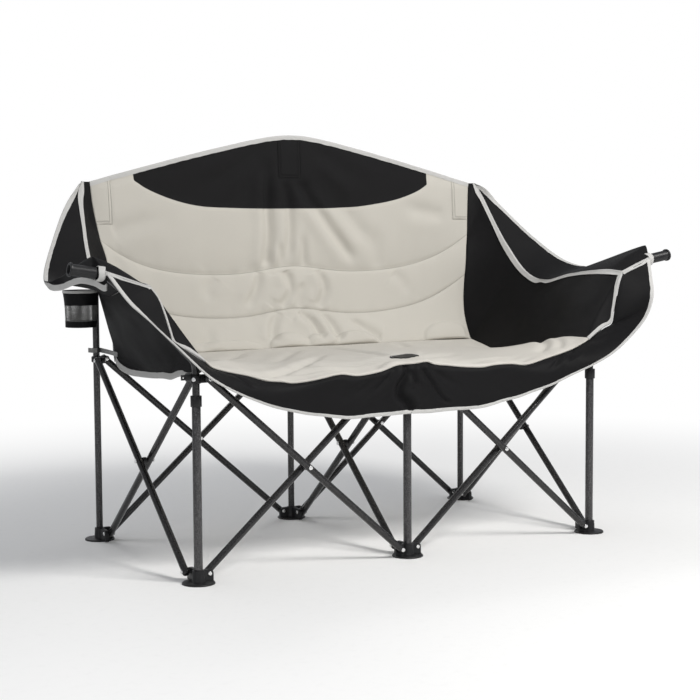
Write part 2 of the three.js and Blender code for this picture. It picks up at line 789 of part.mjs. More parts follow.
// The side panel's inner edge runs down the back and forward along the seat
function slingEdge(t) {
  const seatStartShare = 0.46;
  const point = t < seatStartShare
    ? backPoint(1, t / seatStartShare)
    : seatPoint(1, (t - seatStartShare) / (1 - seatStartShare));
  return point.add(at(clothThickness / 2 + sewnGap, 0, 0));
}

function mirrored(pointAt, side) {
  return (a, b) => {
    const point = pointAt(a, b);
    point.x *= side;
    return point;
  };
}

// Just behind the front seam the panel turns in, so that it passes inside the arm post
const sidePanelPoint = patch(
  slingEdge,
  (a) => ridge(a),
  (b) => slingEdge(0).lerp(cornerPoint, b),
  (b) => frontSeam(b).add(at((clothThickness / 2 + sewnGap) * (1 - b), 0, 0)),
  sideTurnShare,
);

function sidePanel(side) {
  const point = (a, b) => sidePanelPoint(stepsToLip(a, sideColumns, 1, 1 - sideTurnShare), b);
  return sheet(mirrored(point, side), () => clothThickness / 2, sideColumns, sideRows);
}

// The wing slopes up from the ridge to its crest and folds down there as a hem
const wingInner = (a) => ridge(a).add(at(clothThickness, 0, clothThickness / 2));
const crestStartShare = 0.03;

function wingPoint(a, b) {
  const reach = stepsToLip(b, wingRows, hemRows, wingFoldShare);
  const place = mix(crestStartShare, 1, a);
  const slope = Math.min(reach / wingFoldShare, 1);
  const fold = Math.max((reach - wingFoldShare) / (1 - wingFoldShare), 0);
  const point = wingInner(a).lerp(wingCrest(place), slope);
  point.z += wingFrontRise * a ** wingRisePower * Math.sin(Math.PI * slope);
  point.z -= wingHemDepth * along(hemDepthShares, place) * fold;
  return point;
}

function wing(side) {
  return sheet(mirrored(wingPoint, side), () => clothThickness / 2, wingColumns, wingRows);
}

// The skirt hangs from the seat's front edge and climbs each arm in front of its post
const skirtMiddle = at(0, -frontReachMiddle + clothThickness, creaseHeight - skirtDrop);
const skirtTip = armEnd.clone().sub(at(skirtTipInset, skirtTipAhead, skirtTipDrop));
const skirtCorner = boxPoint(postBend, skirtTip, skirtCornerShares).setY(-skirtBulge);
const skirtFrontShares = [[0.31, 0, 0.01], [0.55, 0, 0.16], [0.71, 0.33, 0.35], [0.86, 0.8, 0.6]];
const skirtArmShares = [[0.38, 0.21, 0.32], [0.69, 0.59, 0.62]];

const skirtHem = through([
  skirtMiddle,
  ...skirtFrontShares.map((shares) => boxPoint(skirtMiddle, skirtCorner, shares)),
  skirtCorner,
  ...skirtArmShares.map((shares) => boxPoint(skirtCorner, skirtTip, shares)),
  skirtTip,
]);

function skirtSeam(t) {
  const seatTurnShare = 0.6;
  const tipTurnShare = 0.88;
  const clear = clothThickness / 2 + sewnGap;
  const underSeam = clothThickness + seamThickness / 2 + sewnGap;
  const ahead = -clear - clothThickness / 2;
  if (t < seatTurnShare) {
    return seatPoint((1 + t / seatTurnShare) / 2, 1).add(at(0, ahead - sewnGap, -underSeam));
  }
  if (t < tipTurnShare) {
    const climb = (t - seatTurnShare) / (tipTurnShare - seatTurnShare);
    return frontSeam(climb).add(at(clear / 2, ahead, -mix(underSeam, clear, climb)));
  }
  const start = armInner.clone().add(at(clear / 2, ahead, -clear));
  const end = skirtTip.clone().add(at(-clear, -clear, clothThickness));
  return start.lerp(end, (t - tipTurnShare) / (1 - tipTurnShare));
}

function skirtPoint(a, b) {
  const u = 2 * a - 1;
  const t = Math.abs(u);
  const fade = Math.exp(-((t / gatherReachShare) ** 2));
  const fold = Math.sin(skirtFoldCount * Math.PI * t) ** 2;
  const point = skirtSeam(t).lerp(skirtHem(t), b);
  return at(Math.sign(u) * point.x, point.y - skirtFoldDepth * b * fade * fold, point.z);
}

function frontSkirt() {
  return sheet(skirtPoint, () => clothThickness / 2, skirtColumns, skirtRows);
}

// The mesh cup hangs against the outside of the side panel
function cupPocket() {
  const foot = cupRadius * cupBottomShare;
  return lathe([
    [0, 0], [foot, 0], [cupRadius, cupHeight],
    [cupRadius - cupWall, cupHeight], [foot - cupWall, cupWall], [0, cupWall],
  ], bossSides);
}

// How far out the cup's axis lies for its wall to rest against the side panel
function cupReach() {
  let axisReach = 0;
  for (let i = 0; i <= cupSamples; i += 1) {
    for (let j = 0; j <= cupSamples; j += 1) {
      const point = sidePanelPoint(i / cupSamples, j / cupSamples);
      const rise = (point.z - cupBottomHeight) / cupHeight;
      const radius = cupRadius * mix(cupBottomShare, 1, rise);
      const beside = Math.abs(point.y - cupBack);
      if (rise < 0 || rise > 1 || beside > radius) continue;
      axisReach = Math.max(axisReach, point.x + Math.sqrt(radius ** 2 - beside ** 2));
    }
  }
  return axisReach + clothThickness / 2 + sewnGap;
}

// Legs, hubs and poles
for (const column of Object.keys(columns)) {
  for (const row of Object.keys(rows)) {
    const name = `${row}_${column}`;
    const tubeRadius = row === 'front' ? legTubeRadius : slimTubeRadius;
    const standing = new THREE.Group();
    standing.position.copy(cornerOf(column, row));
    loveseat.add(standing);
    add(`${name}_foot`, foot(column, row, tubeRadius), blackPlastic, standing);
    const tubeBottom = footFloor + runningGap;
    if (row === 'front') {
      const legTube = pipe(legTubeRadius, legTubeRadius - tubeWall, tubeBottom, legTubeTop);
      add(`${name}_leg_tube`, legTube, greySteel, standing);
      add(`${name}_leg_collar`, legCollar(), blackPlastic, standing);
    } else {
      const poleTop = column === 'middle' ? middlePoleTop : sidePoleTop;
      add(`${name}_pole`, slimPipe(tubeBottom, poleTop), greySteel, standing);
      const cap = add(`${name}_pole_cap`, poleCap(), blackPlastic, standing);
      cap.position.z = poleTop;
    }
    const gap = row === 'front' ? runningGap : slidingGap;
    const height = row === 'front' ? frontHubHeight : rearHubHeight;
    const placed = add(`${name}_hub`, hub(column, row, gap, height), blackPlastic, standing);
    placed.position.z = hubPivotHeight;
  }
}

add('front_middle_upper_tube', middleUpperTube(), darkSteel);
for (const [side, name] of [[-1, 'left'], [1, 'right']]) {
  add(`${name}_arm_post`, armPost(side), darkSteel);
  const points = armPostPoints(side);
  const outward = points[4].clone().sub(points[3]).normalize();
  const cap = add(`${name}_arm_cap`, armCap(), blackPlastic);
  cap.quaternion.setFromUnitVectors(at(0, 0, 1), outward);
  cap.position.copy(points[4]).addScaledVector(outward, -armTubeInCap);
}

// Crossed pairs: the outer tube stands on the foot of the to corner and lies on the outside
const crossPairs = [
  { name: 'front_left', from: ['left', 'front'], to: ['middle', 'front'], outside: at(0, -1, 0) },
  { name: 'front_right', from: ['middle', 'front'], to: ['right', 'front'], outside: at(0, -1, 0) },
  { name: 'rear_left', from: ['left', 'rear'], to: ['middle', 'rear'], outside: at(0, 1, 0) },
  { name: 'rear_right', from: ['middle', 'rear'], to: ['right', 'rear'], outside: at(0, 1, 0) },
  { name: 'left_side', from: ['left', 'rear'], to: ['left', 'front'], outside: at(-1, 0, 0) },
  { name: 'middle', from: ['middle', 'rear'], to: ['middle', 'front'], outside: at(-1, 0, 0) },
  { name: 'right_side', from: ['right', 'rear'], to: ['right', 'front'], outside: at(1, 0, 0) },
];

for (const { name, from, to, outside } of crossPairs) {
  const start = cornerOf(...from);
  const end = cornerOf(...to);
  const level = end.clone().sub(start).normalize();
  const reach = Math.abs(level.x) > Math.abs(level.y) ? pivotReach : rowPivotReach;
  const ends = [
    { tube: 'outer', foot: end, direction: level.clone().negate(), side: outside },
    { tube: 'inner', foot: start, direction: level, side: outside.clone().negate() },
  ];
  for (const { tube, foot: base, direction, side } of ends) {
    const along = direction.clone().multiplyScalar(Math.cos(crossTubeAngle));
    along.z = Math.sin(crossTubeAngle);
    const towardEars = side.clone().negate();
    const third = along.clone().cross(towardEars);
    const mesh = add(`${name}_cross_tube_${tube}`, crossTube(), darkSteel);
    mesh.quaternion.setFromRotationMatrix(new THREE.Matrix4().makeBasis(along, towardEars, third));
    mesh.position.copy(base).addScaledVector(direction, reach).addScaledVector(side, crossTubeOffset);
    mesh.position.z = footPivotHeight;
  }
  const pin = add(`${name}_cross_rivet`, crossRivet(), zinc);
  pin.position.copy(start).lerp(end, 0.5);
  pin.position.z = footPivotHeight + pivotRise / 2;
  pin.rotation.z = Math.abs(level.x) > Math.abs(level.y) ? 0 : Math.PI / 2;
}

// Cloth
add('back_panel', backPanel(), creamCloth);
add('seat_pad', seatPad(), creamCloth);
add('front_skirt', frontSkirt(), blackCloth);
for (const [side, name] of [[-1, 'left'], [1, 'right']]) {
  add(`${name}_side_panel`, sidePanel(side), blackCloth);
  add(`${name}_wing`, wing(side), blackCloth);
  add(`${name}_cup_pocket`, cupPocket(), greyMesh).position.set(side * cupReach(), cupBack, cupBottomHeight);
}

// The origin goes to the middle of the part's own box, on the ground
const box = new THREE.Box3().setFromObject(loveseat, true);
loveseat.position.y = -(box.min.y + box.max.y) / 2;
const part = new THREE.Group();
part.add(loveseat);

export default part;
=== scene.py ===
import json
import math

import bpy
import numpy as np
from mathutils import Matrix, Vector, noise


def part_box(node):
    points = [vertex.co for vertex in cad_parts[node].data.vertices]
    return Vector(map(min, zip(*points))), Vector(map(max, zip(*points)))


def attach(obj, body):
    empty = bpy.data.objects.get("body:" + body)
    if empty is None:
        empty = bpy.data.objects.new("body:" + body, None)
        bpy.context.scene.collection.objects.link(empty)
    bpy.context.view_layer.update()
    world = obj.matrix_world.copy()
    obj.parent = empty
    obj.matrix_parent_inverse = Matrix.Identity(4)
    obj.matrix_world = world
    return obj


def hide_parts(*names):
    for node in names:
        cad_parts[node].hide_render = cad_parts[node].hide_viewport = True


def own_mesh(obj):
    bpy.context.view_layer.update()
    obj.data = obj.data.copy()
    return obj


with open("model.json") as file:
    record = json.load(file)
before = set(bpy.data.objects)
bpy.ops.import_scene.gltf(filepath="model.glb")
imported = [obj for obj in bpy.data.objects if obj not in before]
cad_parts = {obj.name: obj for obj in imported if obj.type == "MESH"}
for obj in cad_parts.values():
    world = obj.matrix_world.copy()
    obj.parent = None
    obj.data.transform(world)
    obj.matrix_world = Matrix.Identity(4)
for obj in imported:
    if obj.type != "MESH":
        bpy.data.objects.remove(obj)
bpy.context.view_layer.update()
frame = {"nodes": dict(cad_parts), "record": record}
scene = bpy.context.scene
print("frame loaded:", len(frame["nodes"]), "nodes")

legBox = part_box("front_middle_leg_tube")
frontRow = (legBox[0].y + legBox[1].y) / 2
sides = ((-1, "left"), (1, "right"))

# Camera: where the picture was taken from
camera = {
    "place": (-1.9964, -3.3800, 0.7930),
    "turn": 0.532845,
    "tiltDown": 0.085085,
    "roll": 0.005827,
    "lens": 84.05,
}
cameraData = bpy.data.cameras.new("camera")
cameraData.lens = camera["lens"]
cameraData.sensor_width = 36
cameraObject = bpy.data.objects.new("camera", cameraData)
scene.collection.objects.link(cameraObject)
cameraObject.matrix_world = (
    Matrix.Translation(camera["place"])
    @ Matrix.Rotation(-camera["turn"], 4, "Z")
    @ Matrix.Rotation(math.pi / 2 - camera["tiltDown"], 4, "X")
    @ Matrix.Rotation(-camera["roll"], 4, "Z")
)
scene.camera = cameraObject


# Small tools

def mix(low, high, share):
    return low + (high - low) * share


def smooth(low, high, value):
    share = np.clip((value - low) / (high - low), 0, 1)
    return share * share * (3 - 2 * share)


def along(table, place):
    # smooth value along a table of (place, value) pairs, places rising from 0 to 1
    table = np.array(table, float)
    x, y = table[:, 0], table[:, 1]
    last = len(x) - 1
    slope = np.array([
        (y[min(k + 1, last)] - y[max(k - 1, 0)]) / (x[min(k + 1, last)] - x[max(k - 1, 0)])
        for k in range(last + 1)
    ])
    place = np.asarray(place, float)
    i = np.clip(np.searchsorted(x, place, side="left") - 1, 0, last - 1)
    width = x[i + 1] - x[i]
    t = (place - x[i]) / width
    return (
        (2 * t**3 - 3 * t**2 + 1) * y[i]
        + (t**3 - 2 * t**2 + t) * width * slope[i]
        + (3 * t**2 - 2 * t**3) * y[i + 1]
        + (t**3 - t**2) * width * slope[i + 1]
    )


def rail(points, samples=60):
    # a smooth line through points, as a function of a share from 0 to 1
    points = np.array(points, float)
    ends = np.vstack([2 * points[0] - points[1], points, 2 * points[-1] - points[-2]])
    dense = []
    for k in range(len(points) - 1):
        p0, p1, p2, p3 = ends[k:k + 4]
        d0, d1, d2 = (np.sqrt(np.linalg.norm(q - p)) for p, q in ((p0, p1), (p1, p2), (p2, p3)))
        m1 = ((p1 - p0) / d0 - (p2 - p0) / (d0 + d1) + (p2 - p1) / d1) * d1
        m2 = ((p2 - p1) / d1 - (p3 - p1) / (d1 + d2) + (p3 - p2) / d2) * d1
        t = np.linspace(0, 1, samples, endpoint=False)[:, None]
        dense.append(p1 + m1 * t + (3 * (p2 - p1) - 2 * m1 - m2) * t**2 + (2 * (p1 - p2) + m1 + m2) * t**3)
    dense = np.vstack(dense + [points[-1:]])
    shares = np.linspace(0, 1, len(dense))

    def at(t):
        t = np.clip(np.asarray(t, float), 0, 1)
        return np.stack([np.interp(t, shares, dense[:, k]) for k in range(3)], -1)

    return at


def boxPoint(low, high, shares):
    return [mix(a, b, s) for a, b, s in zip(low, high, shares)]


def railVia(*stops):
    # a rail through corners; between two corners, shares of the box that they span
    points, last = [stops[0]], stops[0]
    for shares, corner in zip(stops[1::2], stops[2::2]):
        points += [boxPoint(last, corner, s) for s in shares] + [corner]
        last = corner
    return rail(points)


def flatLine(points, samples, count):
    # count places on a smooth line through (across, up) points
    return rail([(*p, 0) for p in points], samples)(np.linspace(0, 1, count))[:, :2]


def runOf(line):
    # distance run at each point of a polyline
    return np.concatenate([[0], np.cumsum(np.linalg.norm(np.diff(line, axis=0), axis=1))])


def paired(a, b):
    return np.broadcast_arrays(np.asarray(a, float), np.asarray(b, float))


def unit(vectors):
    return vectors / np.maximum(np.linalg.norm(vectors, axis=-1, keepdims=True), 1e-9)


def placed(points):
    out = np.array(points, float) / 1000
    out[..., 1] += frontRow
    return out


def softNoise(points, size, seed=0.0):
    # slow noise from -1 to 1 at each point of an array, size in millimetres
    flat = np.asarray(points, float).reshape(-1, 3) / size + np.array([seed, -seed, 2 * seed])
    found = [noise.noise(Vector(p)) for p in flat]
    return np.array(found).reshape(np.shape(points)[:-1])


def noiseOf(x, y, z, size, seed):
    return softNoise(np.stack(np.broadcast_arrays(x, y, z), -1), size, seed)


def clearSelection():
    bpy.ops.object.select_all(action="DESELECT")


def choose(piece):
    clearSelection()
    piece.select_set(True)
    bpy.context.view_layer.objects.active = piece


def setMode(mode):
    bpy.ops.object.mode_set(mode=mode)


def addWall(piece, thickness):
    wall = piece.modifiers.new("wall", "SOLIDIFY")
    wall.thickness = thickness
    wall.offset = -1


def addRounding(piece, width, segments, degrees):
    rounding = piece.modifiers.new("rounding", "BEVEL")
    rounding.width = width
    rounding.segments = segments
    rounding.limit_method = "ANGLE"
    rounding.angle_limit = math.radians(degrees)


def applyModifiers(piece):
    choose(piece)
    for name in [m.name for m in piece.modifiers]:
        bpy.ops.object.modifier_apply(modifier=name)


def smoothUpTo(degrees):
    bpy.ops.object.shade_smooth_by_angle(angle=math.radians(degrees))


def finishPiece(piece, material, degrees):
    applyModifiers(piece)
    piece.data.materials.append(material)
    smoothUpTo(degrees)


def settle(piece):
    choose(piece)
    bpy.ops.object.transform_apply(location=True, rotation=True, scale=True)
    return piece


def facingOut(piece):
    choose(piece)
    setMode("EDIT")
    bpy.ops.mesh.select_all(action="SELECT")
    bpy.ops.mesh.normals_make_consistent(inside=False)
    setMode("OBJECT")


def joinPieces(pieces, name):
    clearSelection()
    for piece in pieces:
        piece.select_set(True)
    bpy.context.view_layer.objects.active = pieces[0]
    bpy.ops.object.join()
    joined = bpy.context.active_object
    joined.name = joined.data.name = name
    return joined


def camel(node):
    words = node.split("_")
    return words[0] + "".join(w.capitalize() for w in words[1:])


def gridNormals(points):
    return unit(np.cross(np.gradient(points, axis=1), np.gradient(points, axis=0)))


def linked(name, data):
    piece = bpy.data.objects.new(name, data)
    scene.collection.objects.link(piece)
    return piece


def copyOf(source, name):
    mesh = source.data.copy()
    mesh.name = name
    return linked(name, mesh)


def newPiece(name, vertices, faces, *materials):
    mesh = bpy.data.meshes.new(name)
    mesh.from_pydata([tuple(v) for v in vertices], [], faces)
    piece = linked(name, mesh)
    for material in materials:
        mesh.materials.append(material)
    mesh.polygons.foreach_set("use_smooth", [True] * len(mesh.polygons))
    mesh.update()
    return piece


def gridFaces(rows, columns, start=0, turned=False):
    faces = []
    for j in range(rows - 1):
        for i in range(columns - 1):
            a = start + j * columns + i
            quad = (a, a + 1, a + columns + 1, a + columns)
            faces.append(quad[::-1] if turned else quad)
    return faces


def ringFaces(rings, around):
    # quads between rings of points, each ring closed on itself
    faces = []
    for k in range(rings - 1):
        for i in range(around):
            j = (i + 1) % around
            faces.append((k * around + i, k * around + j, (k + 1) * around + j, (k + 1) * around + i))
    return faces


def setUv(piece, uvOfVertex):
    layer = piece.data.uv_layers.new(name="UVMap")
    loops = np.zeros(len(piece.data.loops), int)
    piece.data.loops.foreach_get("vertex_index", loops)
    layer.data.foreach_set("uv", np.asarray(uvOfVertex, float)[loops].ravel())


def uvGrid(across, down):
    # UV places in metres from the millimetres run across and down a grid
    return np.stack(np.meshgrid(across, down), -1).reshape(-1, 2) / 1000


def setMask(piece, name, values):
    attribute = piece.data.attributes.new(name, "FLOAT", "POINT")
    attribute.data.foreach_set("value", np.asarray(values, np.float32).ravel())


def closedPad(name, front, rear, material):
    # two grids of points in millimetres, joined round their border
    rows, columns = front.shape[:2]
    count = rows * columns
    middle = (front + rear) / 2
    across = np.linalg.norm(np.diff(middle, axis=1), axis=2).mean(0)
    down = np.linalg.norm(np.diff(middle, axis=0), axis=2).mean(1)
    uv = uvGrid(*(np.concatenate([[0], np.cumsum(steps)]) for steps in (across, down)))
    faces = gridFaces(rows, columns) + gridFaces(rows, columns, count, turned=True)
    index = np.arange(count).reshape(rows, columns)
    edges = (index[0], index[1:, -1], index[-1, -2::-1], index[-2:0:-1, 0])
    border = np.concatenate(edges).tolist()
    faces += [(a, a + count, b + count, b) for a, b in zip(border, border[1:] + border[:1])]
    piece = newPiece(name, placed(np.stack([front, rear])).reshape(-1, 3), faces, material)
    setUv(piece, np.vstack([uv, uv]))
    facingOut(piece)
    return piece


def sheetPiece(name, points, thickness, material):
    # one layer of cloth: points is a grid in millimetres about its middle
    lift = gridNormals(points) * thickness / 2
    return closedPad(name, points + lift, points - lift, material)


def tangents(points):
    return unit(np.gradient(points, axis=0))


def gridOf(across, down):
    return paired(across[None, :], down[:, None])


def lineNoise(run, seed, layer):
    return np.array([noise.noise(Vector((r, seed, layer))) for r in run])


def mirroredGrid(points, side):
    return points * np.array([side, 1, 1])


def relieved(points, amounts):
    return points + gridNormals(points) * amounts[..., None]


# Finishes

def feed(tree, node, inputs):
    # each input is a value or the output of another node
    for key, value in inputs.items():
        if isinstance(value, bpy.types.NodeSocket):
            tree.links.new(value, node.inputs[key])
        else:
            node.inputs[key].default_value = value


def addNode(tree, kind, inputs=None, **settings):
    node = tree.nodes.new(kind)
    for key, value in settings.items():
        setattr(node, key, value)
    feed(tree, node, inputs or {})
    return node


def mathNode(tree, operation, *values):
    return addNode(tree, "ShaderNodeMath", dict(enumerate(values)), operation=operation).outputs[0]


def cloudNode(tree, place, **values):
    return addNode(tree, "ShaderNodeTexNoise", {**values, "Vector": place}).outputs


def rampNode(tree, value, low, high, first=0.0, last=1.0, kind="SMOOTHSTEP"):
    inputs = {"Value": value, "From Min": low, "From Max": high, "To Min": first, "To Max": last}
    return addNode(tree, "ShaderNodeMapRange", inputs, interpolation_type=kind).outputs[0]


def mixColours(tree, factor, low, high, mode="MIX"):
    inputs = {"Factor": factor, "A": low, "B": high}
    inputs = {key: (*value, 1) if isinstance(value, tuple) else value for key, value in inputs.items()}
    return addNode(tree, "ShaderNodeMix", inputs, data_type="RGBA", blend_type=mode).outputs["Result"]


def bumpNode(tree, height, distance, **under):
    inputs = {"Distance": distance, "Strength": 1.0, "Height": height, **under}
    return addNode(tree, "ShaderNodeBump", inputs).outputs[0]


def uvParts(tree):
    uv = addNode(tree, "ShaderNodeUVMap")
    return addNode(tree, "ShaderNodeSeparateXYZ", {0: uv.outputs[0]}).outputs


def objectPlace(tree):
    return addNode(tree, "ShaderNodeTexCoord").outputs["Object"]


def nodeGroup(name, inputs, outputs):
    group = bpy.data.node_groups.new(name, "ShaderNodeTree")
    for label, value in inputs.items():
        socket = group.interface.new_socket(name=label, in_out="INPUT", socket_type="NodeSocketFloat")
        socket.default_value = value
    for label in outputs:
        group.interface.new_socket(name=label, in_out="OUTPUT", socket_type="NodeSocketFloat")
    return group, group.nodes.new("NodeGroupInput").outputs, group.nodes.new("NodeGroupOutput")


def clothWeaveGroup():
    # plain weave from the UV map: over and under threads with a little unevenness
    group, start, end = nodeGroup("clothWeave", {"Thread": 0.0009, "Mottle": 0.03}, ("Height", "Shade"))
    place = objectPlace(group)
    turn = mathNode(group, "DIVIDE", 2 * math.pi, start["Thread"])
    across, down = (
        mathNode(group, "SINE", mathNode(group, "MULTIPLY", part, turn)) for part in uvParts(group)[:2]
    )
    slubs = cloudNode(group, place, Scale=420, Detail=2)[0]
    cloud = cloudNode(group, place, Scale=9, Detail=3)[0]
    uneven = mathNode(group, "SUBTRACT", mathNode(group, "ADD", slubs, cloud), 1.0)
    feed(group, end, {
        "Height": mathNode(group, "MULTIPLY_ADD", mathNode(group, "MULTIPLY", across, down), 0.5, slubs),
        "Shade": mathNode(group, "MULTIPLY_ADD", uneven, start["Mottle"], 1.0),
    })
    return group


def hammeredGroup():
    # powder coat with raised veins, from a stretched cell pattern
    group, start, end = nodeGroup("hammeredCoat", {"Scale": 420.0}, ("Height", "Vein"))
    place = objectPlace(group)
    waver = cloudNode(group, place, Scale=260, Detail=2)["Color"]
    shift = addNode(group, "ShaderNodeVectorMath", {0: waver, 1: (0.003, 0.003, 0.003), 2: place},
                    operation="MULTIPLY_ADD")
    cells = addNode(group, "ShaderNodeTexVoronoi",
                    {"Smoothness": 0.6, "Vector": shift.outputs[0], "Scale": start["Scale"]},
                    feature="SMOOTH_F1").outputs["Distance"]
    feed(group, end, {"Height": cells, "Vein": rampNode(group, cells, 0.32, 0.75)})
    return group


def grainGroup():
    # fine grain and faint scuffs of moulded plastic
    group, start, end = nodeGroup("mouldedGrain", {"Scale": 900.0}, ("Height", "Scuff"))
    place = objectPlace(group)
    fine = cloudNode(group, place, Scale=start["Scale"], Detail=3)[0]
    broad = cloudNode(group, place, Scale=45, Detail=5, Roughness=0.7)[0]
    feed(group, end, {"Height": fine, "Scuff": rampNode(group, broad, 0.5, 0.75)})
    return group


def stitchedSeamGroup():
    # one where a line of stitches pinches a surface, from its distance in millimetres
    group, start, end = nodeGroup("stitchedSeam", {"Distance": 0.0, "Width": 1.2}, ("Groove",))
    share = mathNode(group, "DIVIDE", mathNode(group, "ABSOLUTE", start["Distance"]), start["Width"])
    feed(group, end, {"Groove": rampNode(group, share, 0.0, 1.6, 1.0, 0.0)})
    return group


weaveGroup = clothWeaveGroup()
seamGroup = stitchedSeamGroup()
coatGroup = hammeredGroup()
plasticGroup = grainGroup()


def newMaterial(name):
    material = bpy.data.materials.new(name)
    material.use_nodes = True
    return material, material.node_tree, material.node_tree.nodes["Principled BSDF"]


def useGroup(tree, group, **values):
    return addNode(tree, "ShaderNodeGroup", values, node_tree=group).outputs


# the seat's cream is the back's cream made lighter: painted light where the seat faces up
clothColours = {
    "cream": (0.555, 0.532, 0.480), "seatCreamWithPaintedLight": (0.600, 0.576, 0.528), "black": (0.0078, 0.0076, 0.0082),
    "lining": (0.0085, 0.0085, 0.0090), "tape": (0.56, 0.555, 0.54), "thread": (0.42, 0.40, 0.36),
    "patch": (0.008, 0.008, 0.008), "webbing": (0.33, 0.33, 0.325),
}


def clothMaterial(name, colour, thread, roughness, specular, mottle=0.05, relief=0.00012):
    material, tree, shader = newMaterial(name)
    weave = useGroup(tree, weaveGroup, Thread=thread, Mottle=mottle)
    feed(tree, shader, {
        "Base Color": mixColours(tree, 1.0, clothColours[colour], weave["Shade"], "MULTIPLY"),
        "Roughness": roughness, "Specular IOR Level": specular,
        "Normal": bumpNode(tree, weave["Height"], relief),
    })
    return material


def backMaterial():
    # cream face with a black lens panel along the top, painted shade along its stitched grooves, and a black
    # lining behind
    material, tree, shader = newMaterial("backCloth")
    weave = useGroup(tree, weaveGroup, Thread=0.0011, Mottle=0.05)
    lens, rear, pocket, quilt = (
        addNode(tree, "ShaderNodeAttribute", attribute_name=name).outputs["Fac"]
        for name in ("lens", "rear", "pocket", "quilt")
    )
    outer, inner, quilted = (
        useGroup(tree, seamGroup, Distance=distance, Width=width)["Groove"]
        for distance, width in ((pocket, 1.3), (mathNode(tree, "ADD", pocket, 7.0), 1.3), (quilt, 1.1))
    )
    grooveAndPaintedShade = mathNode(tree, "MAXIMUM", mathNode(tree, "MAXIMUM", outer, inner), quilted)
    cream, black = (
        mixColours(tree, 1.0, clothColours[name], weave["Shade"], "MULTIPLY") for name in ("cream", "black")
    )
    face = mixColours(tree, rampNode(tree, lens, -0.5, 0.5, kind="LINEAR"), cream, black)
    # painted shade: the face colour is darkened along the stitched grooves of the pockets and quilt lines
    face = mixColours(tree, 1.0, face, mathNode(tree, "MULTIPLY_ADD", grooveAndPaintedShade, -0.16, 1.0), "MULTIPLY")
    isRear = mathNode(tree, "GREATER_THAN", rear, 0.5)
    deep = bumpNode(tree, mathNode(tree, "MULTIPLY", grooveAndPaintedShade, -1.0), 0.0008)
    feed(tree, shader, {
        "Base Color": mixColours(tree, isRear, face, clothColours["lining"]),
        "Roughness": 0.88, "Specular IOR Level": 0.25,
        "Normal": bumpNode(tree, weave["Height"], 0.00012, Normal=deep),
    })
    return material


hardKinds = {
    "steel": {
        "group": coatGroup, "mask": "Vein", "scale": 420.0, "roughStep": -0.12,
        "shader": {"Metallic": 0.1, "Specular IOR Level": 0.45, "Coat Weight": 0.2, "Coat Roughness": 0.16},
    },
    "plastic": {
        "group": plasticGroup, "mask": "Scuff", "scale": 900.0, "roughStep": 0.14,
        "shader": {"Specular IOR Level": 0.35},
    },
    "zinc": {
        "group": plasticGroup, "mask": "Scuff", "scale": 1600.0, "roughStep": 0.18,
        "shader": {"Metallic": 1.0},
    },
}


def hardMaterial(name, kind, low, high, roughness, relief):
    # two colours and a change of roughness, both by the mask of the coat
    material, tree, shader = newMaterial(name)
    coat = useGroup(tree, kind["group"], Scale=kind["scale"])
    mask = coat[kind["mask"]]
    feed(tree, shader, {
        "Base Color": mixColours(tree, mask, low, high),
        "Roughness": mathNode(tree, "MULTIPLY_ADD", mask, kind["roughStep"], roughness),
        "Normal": bumpNode(tree, coat["Height"], relief),
        **kind["shader"],
    })
    return material


def meshMaterial():
    # open knit: round holes in staggered rows, from the UV map
    material, tree, shader = newMaterial("knitMesh")
    pitch, stagger = 0.0034, 1.73
    across, down = (
        mathNode(tree, "COSINE", mathNode(tree, "MULTIPLY", part, 2 * math.pi / length))
        for part, length in zip(uvParts(tree), (pitch, pitch * stagger))
    )
    wave = mathNode(tree, "ABSOLUTE", mathNode(tree, "MULTIPLY", across, down))
    strand = mathNode(tree, "LESS_THAN", wave, 0.42)
    feed(tree, shader, {
        "Base Color": mixColours(tree, strand, (0.02, 0.02, 0.02), (0.17, 0.17, 0.165)),
        "Alpha": strand, "Roughness": 0.8, "Specular IOR Level": 0.3,
    })
    return material


backCloth = backMaterial()
# the seat takes a lighter copy of the cream, painted light on the upward-facing seat
seatCloth = clothMaterial("seatCloth", "seatCreamWithPaintedLight", 0.0011, 0.88, 0.25)
blackCloth = clothMaterial("blackCloth", "black", 0.0010, 0.58, 0.12, mottle=0.12)
tapeCloth = clothMaterial("edgeTape", "tape", 0.0016, 0.8, 0.25, mottle=0.10, relief=0.0003)
threadCloth = clothMaterial("paleThread", "thread", 0.0005, 0.7, 0.2)
patchCloth = clothMaterial("patchCloth", "patch", 0.0006, 0.45, 0.3)
webbing = clothMaterial("greyWebbing", "webbing", 0.0022, 0.75, 0.25, mottle=0.1, relief=0.0004)
greySteel = hardMaterial(
    "greySteel", hardKinds["steel"], (0.016, 0.0155, 0.016), (0.105, 0.102, 0.105), 0.34, 0.00045)
darkSteel = hardMaterial(
    "darkSteel", hardKinds["steel"], (0.010, 0.0096, 0.010), (0.034, 0.033, 0.034), 0.22, 0.00012)
blackPlastic = hardMaterial(
    "blackPlastic", hardKinds["plastic"], (0.011, 0.011, 0.012), (0.022, 0.022, 0.023), 0.38, 0.00012)
brightZinc = hardMaterial(
    "brightZinc", hardKinds["zinc"], (0.80, 0.80, 0.80), (0.60, 0.60, 0.59), 0.24, 0.00006)
knitMesh = meshMaterial()
print("finishes made")

